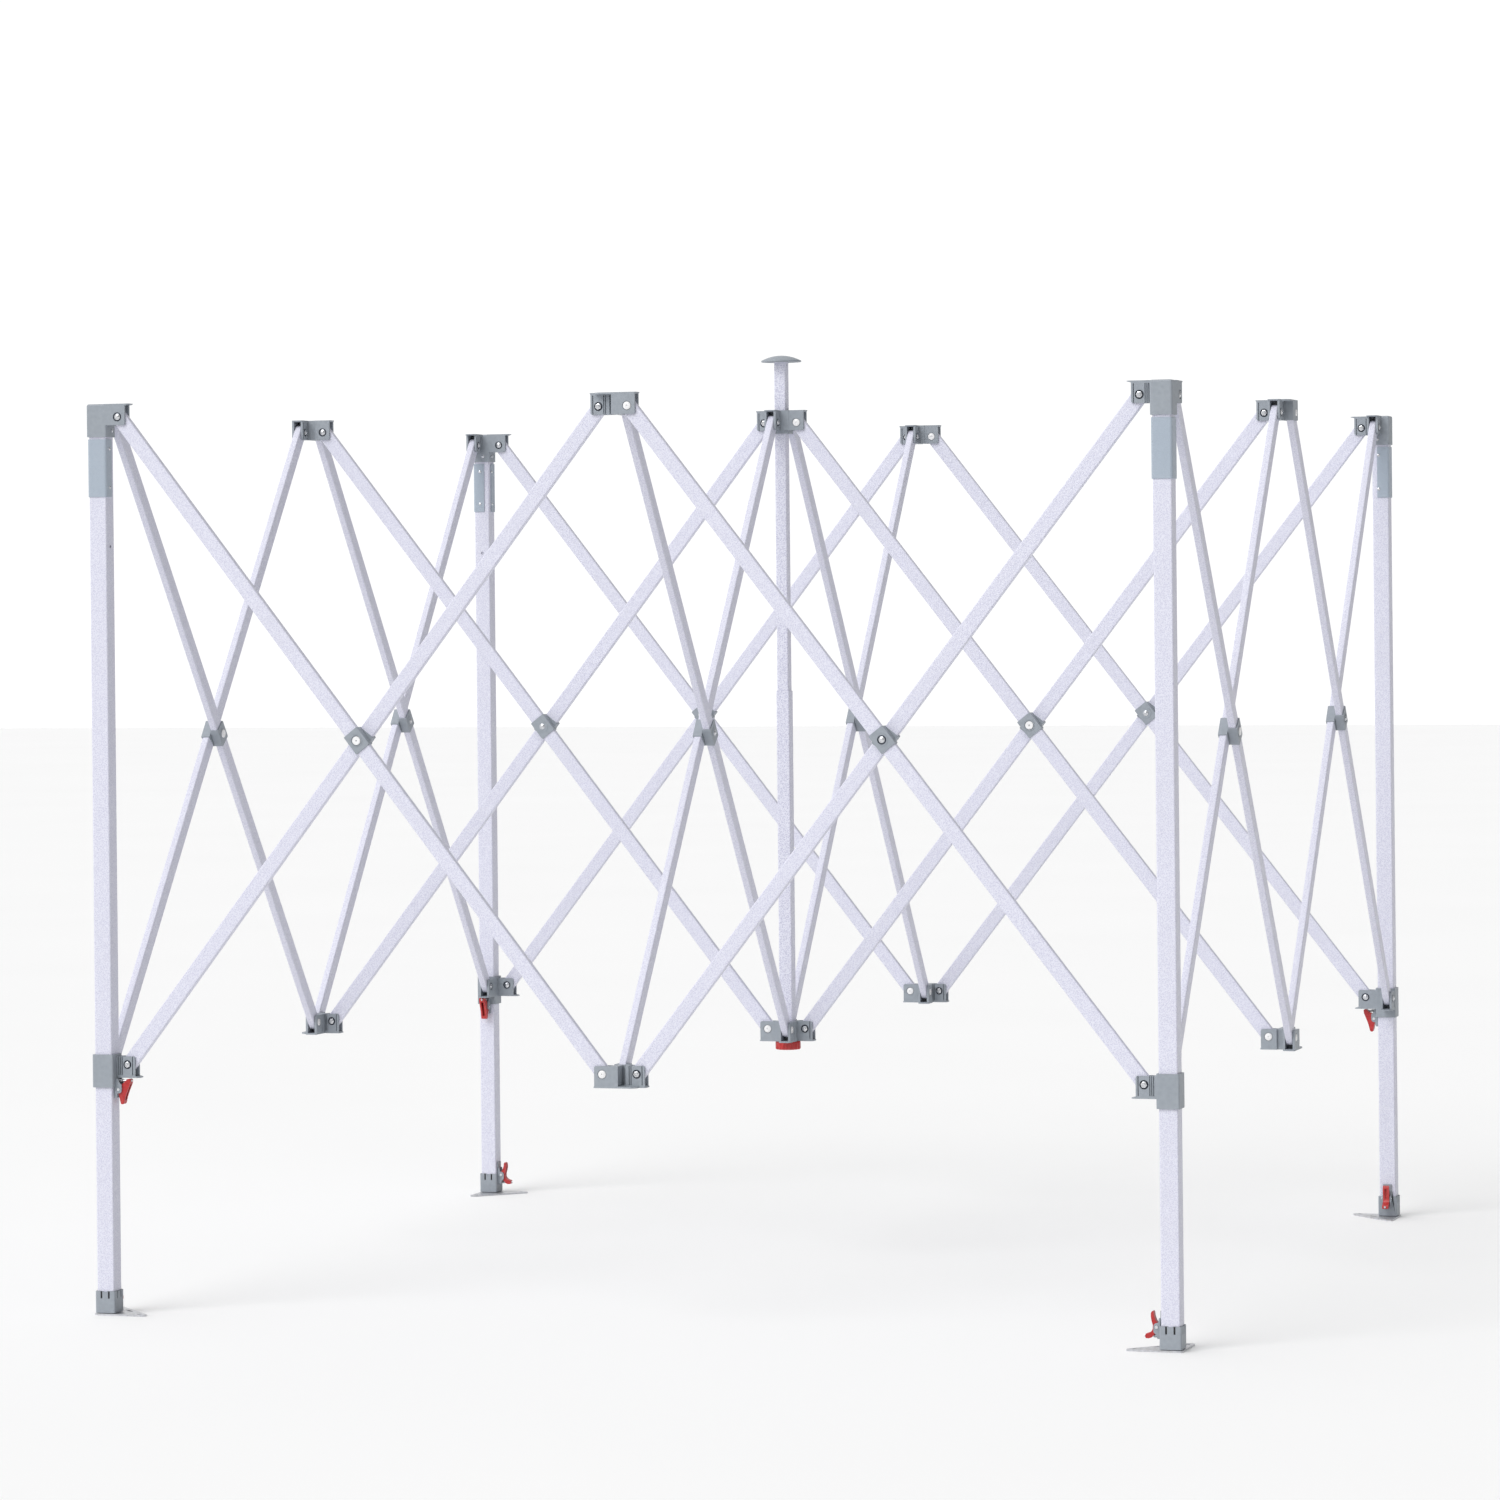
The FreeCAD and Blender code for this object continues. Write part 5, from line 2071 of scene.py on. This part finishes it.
# --- studio --------------------------------------------------------------
@dataclass
class Studio:
    """Floor, light and camera.

    Args:
        camera_place: the camera's place in metres.
        turn: its turn to the left of +Y, in degrees.
        lean: its roll to the right, in degrees.
        lens: focal length in millimetres on a 36 mm sensor.
        drop: vertical shift, as a share of the sensor's width.
    """

    camera_place: tuple[float, float, float] = (2.865, -9.199, 1.223)
    turn: float = 17.67
    lean: float = 0.58
    lens: float = 124.63
    drop: float = -0.0977

    def floor(self, palette: Palette) -> None:
        """Wide pale floor.

        Args:
            palette: where its finish comes from.
        """
        work = bmesh.new()
        bmesh.ops.create_grid(work, x_segments=1, y_segments=1, size=STAGE_HALF)
        mesh = bpy.data.meshes.new("floor")
        work.to_mesh(mesh)
        work.free()
        mesh.materials.append(palette.floor)
        new_object("floor", mesh)

    def light(self) -> None:
        """White surroundings, dimmer to the right, and a soft key from the front left."""
        world = bpy.data.worlds.new("studio")
        world.use_nodes = True
        tree = world.node_tree
        room = tree.nodes["Background"]
        room.inputs["Color"].default_value = (1.0, 1.0, 1.0, 1.0)
        look = add_node(tree, "ShaderNodeTexCoord")
        parts = add_node(tree, "ShaderNodeSeparateXYZ", {0: look.outputs["Generated"]})
        limits = {"From Min": -0.8, "From Max": 0.8, "To Min": 1.1, "To Max": 0.3}
        level = add_node(tree, "ShaderNodeMapRange", {"Value": parts.outputs["X"], **limits})
        tree.links.new(level.outputs[0], room.inputs["Strength"])
        feeds = {"Color": (1.0, 1.0, 1.0, 1.0), "Strength": 1.05}
        backdrop = add_node(tree, "ShaderNodeBackground", feeds)
        seen = add_node(tree, "ShaderNodeLightPath").outputs["Is Camera Ray"]
        feeds = {0: seen, 1: room.outputs[0], 2: backdrop.outputs[0]}
        both = add_node(tree, "ShaderNodeMixShader", feeds)
        tree.links.new(both.outputs[0], tree.nodes["World Output"].inputs["Surface"])
        bpy.context.scene.world = world
        lamp = bpy.data.lights.new("key", "SUN")
        lamp.energy = 1.5
        lamp.angle = math.radians(40)
        key = new_object("key", lamp)
        key.rotation_euler = (math.radians(48), 0, math.radians(-24))

    def camera(self) -> None:
        """Level camera in front and to the right."""
        data = bpy.data.cameras.new("camera")
        data.lens = self.lens
        data.sensor_width = 36.0
        data.shift_y = self.drop
        data.clip_end = 200.0
        camera = new_object("camera", data)
        camera.location = self.camera_place
        camera.rotation_euler = (QUARTER, math.radians(self.lean), math.radians(self.turn))
        bpy.context.scene.camera = camera

    def build(self, palette: Palette) -> None:
        """Set the stage.

        Args:
            palette: where the floor's finish comes from.
        """
        bpy.context.scene.view_settings.view_transform = "Standard"
        self.floor(palette)
        self.light()
        self.camera()


FASTENERS = {
    Head.WASHER: socket_head(6.9, 2.0, 1.3),
    Head.DISC: socket_head(7.6, 2.6, 1.1),
    # painted shade: a dark disc at the bottom of a recess
    Head.SEAT: Solid.turned([(0, 0.05), (7.5, 0.05), (7.5, 0.5), (7.2, 0.7), (0, 0.7)], sides=36),
    Head.NUT: hex_nut(9.8, 3.6, 1.4),
    Head.BOLT_END: ringed_bolt_end(),
    Head.RIVET: Solid.turned([(0, 0), (3.0, 0), (2.8, 0.6), (1.9, 1.1), (0, 1.3)], sides=24),
    Head.SCREW: cross_screw(),
}


def main() -> None:
    """Build every sub-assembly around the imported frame."""
    logging.basicConfig(level=logging.INFO, format="%(name)s: %(message)s")
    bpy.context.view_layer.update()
    shop = Workshop()
    for assembly in (TrussBars(), SideBrackets(), CentrePole(), Corner()):
        assembly.build(shop)
        LOG.info("%s done, %d pieces so far", type(assembly).__name__, shop.count)
    Studio().build(shop.palette)


if __name__ == "__main__":
    main()
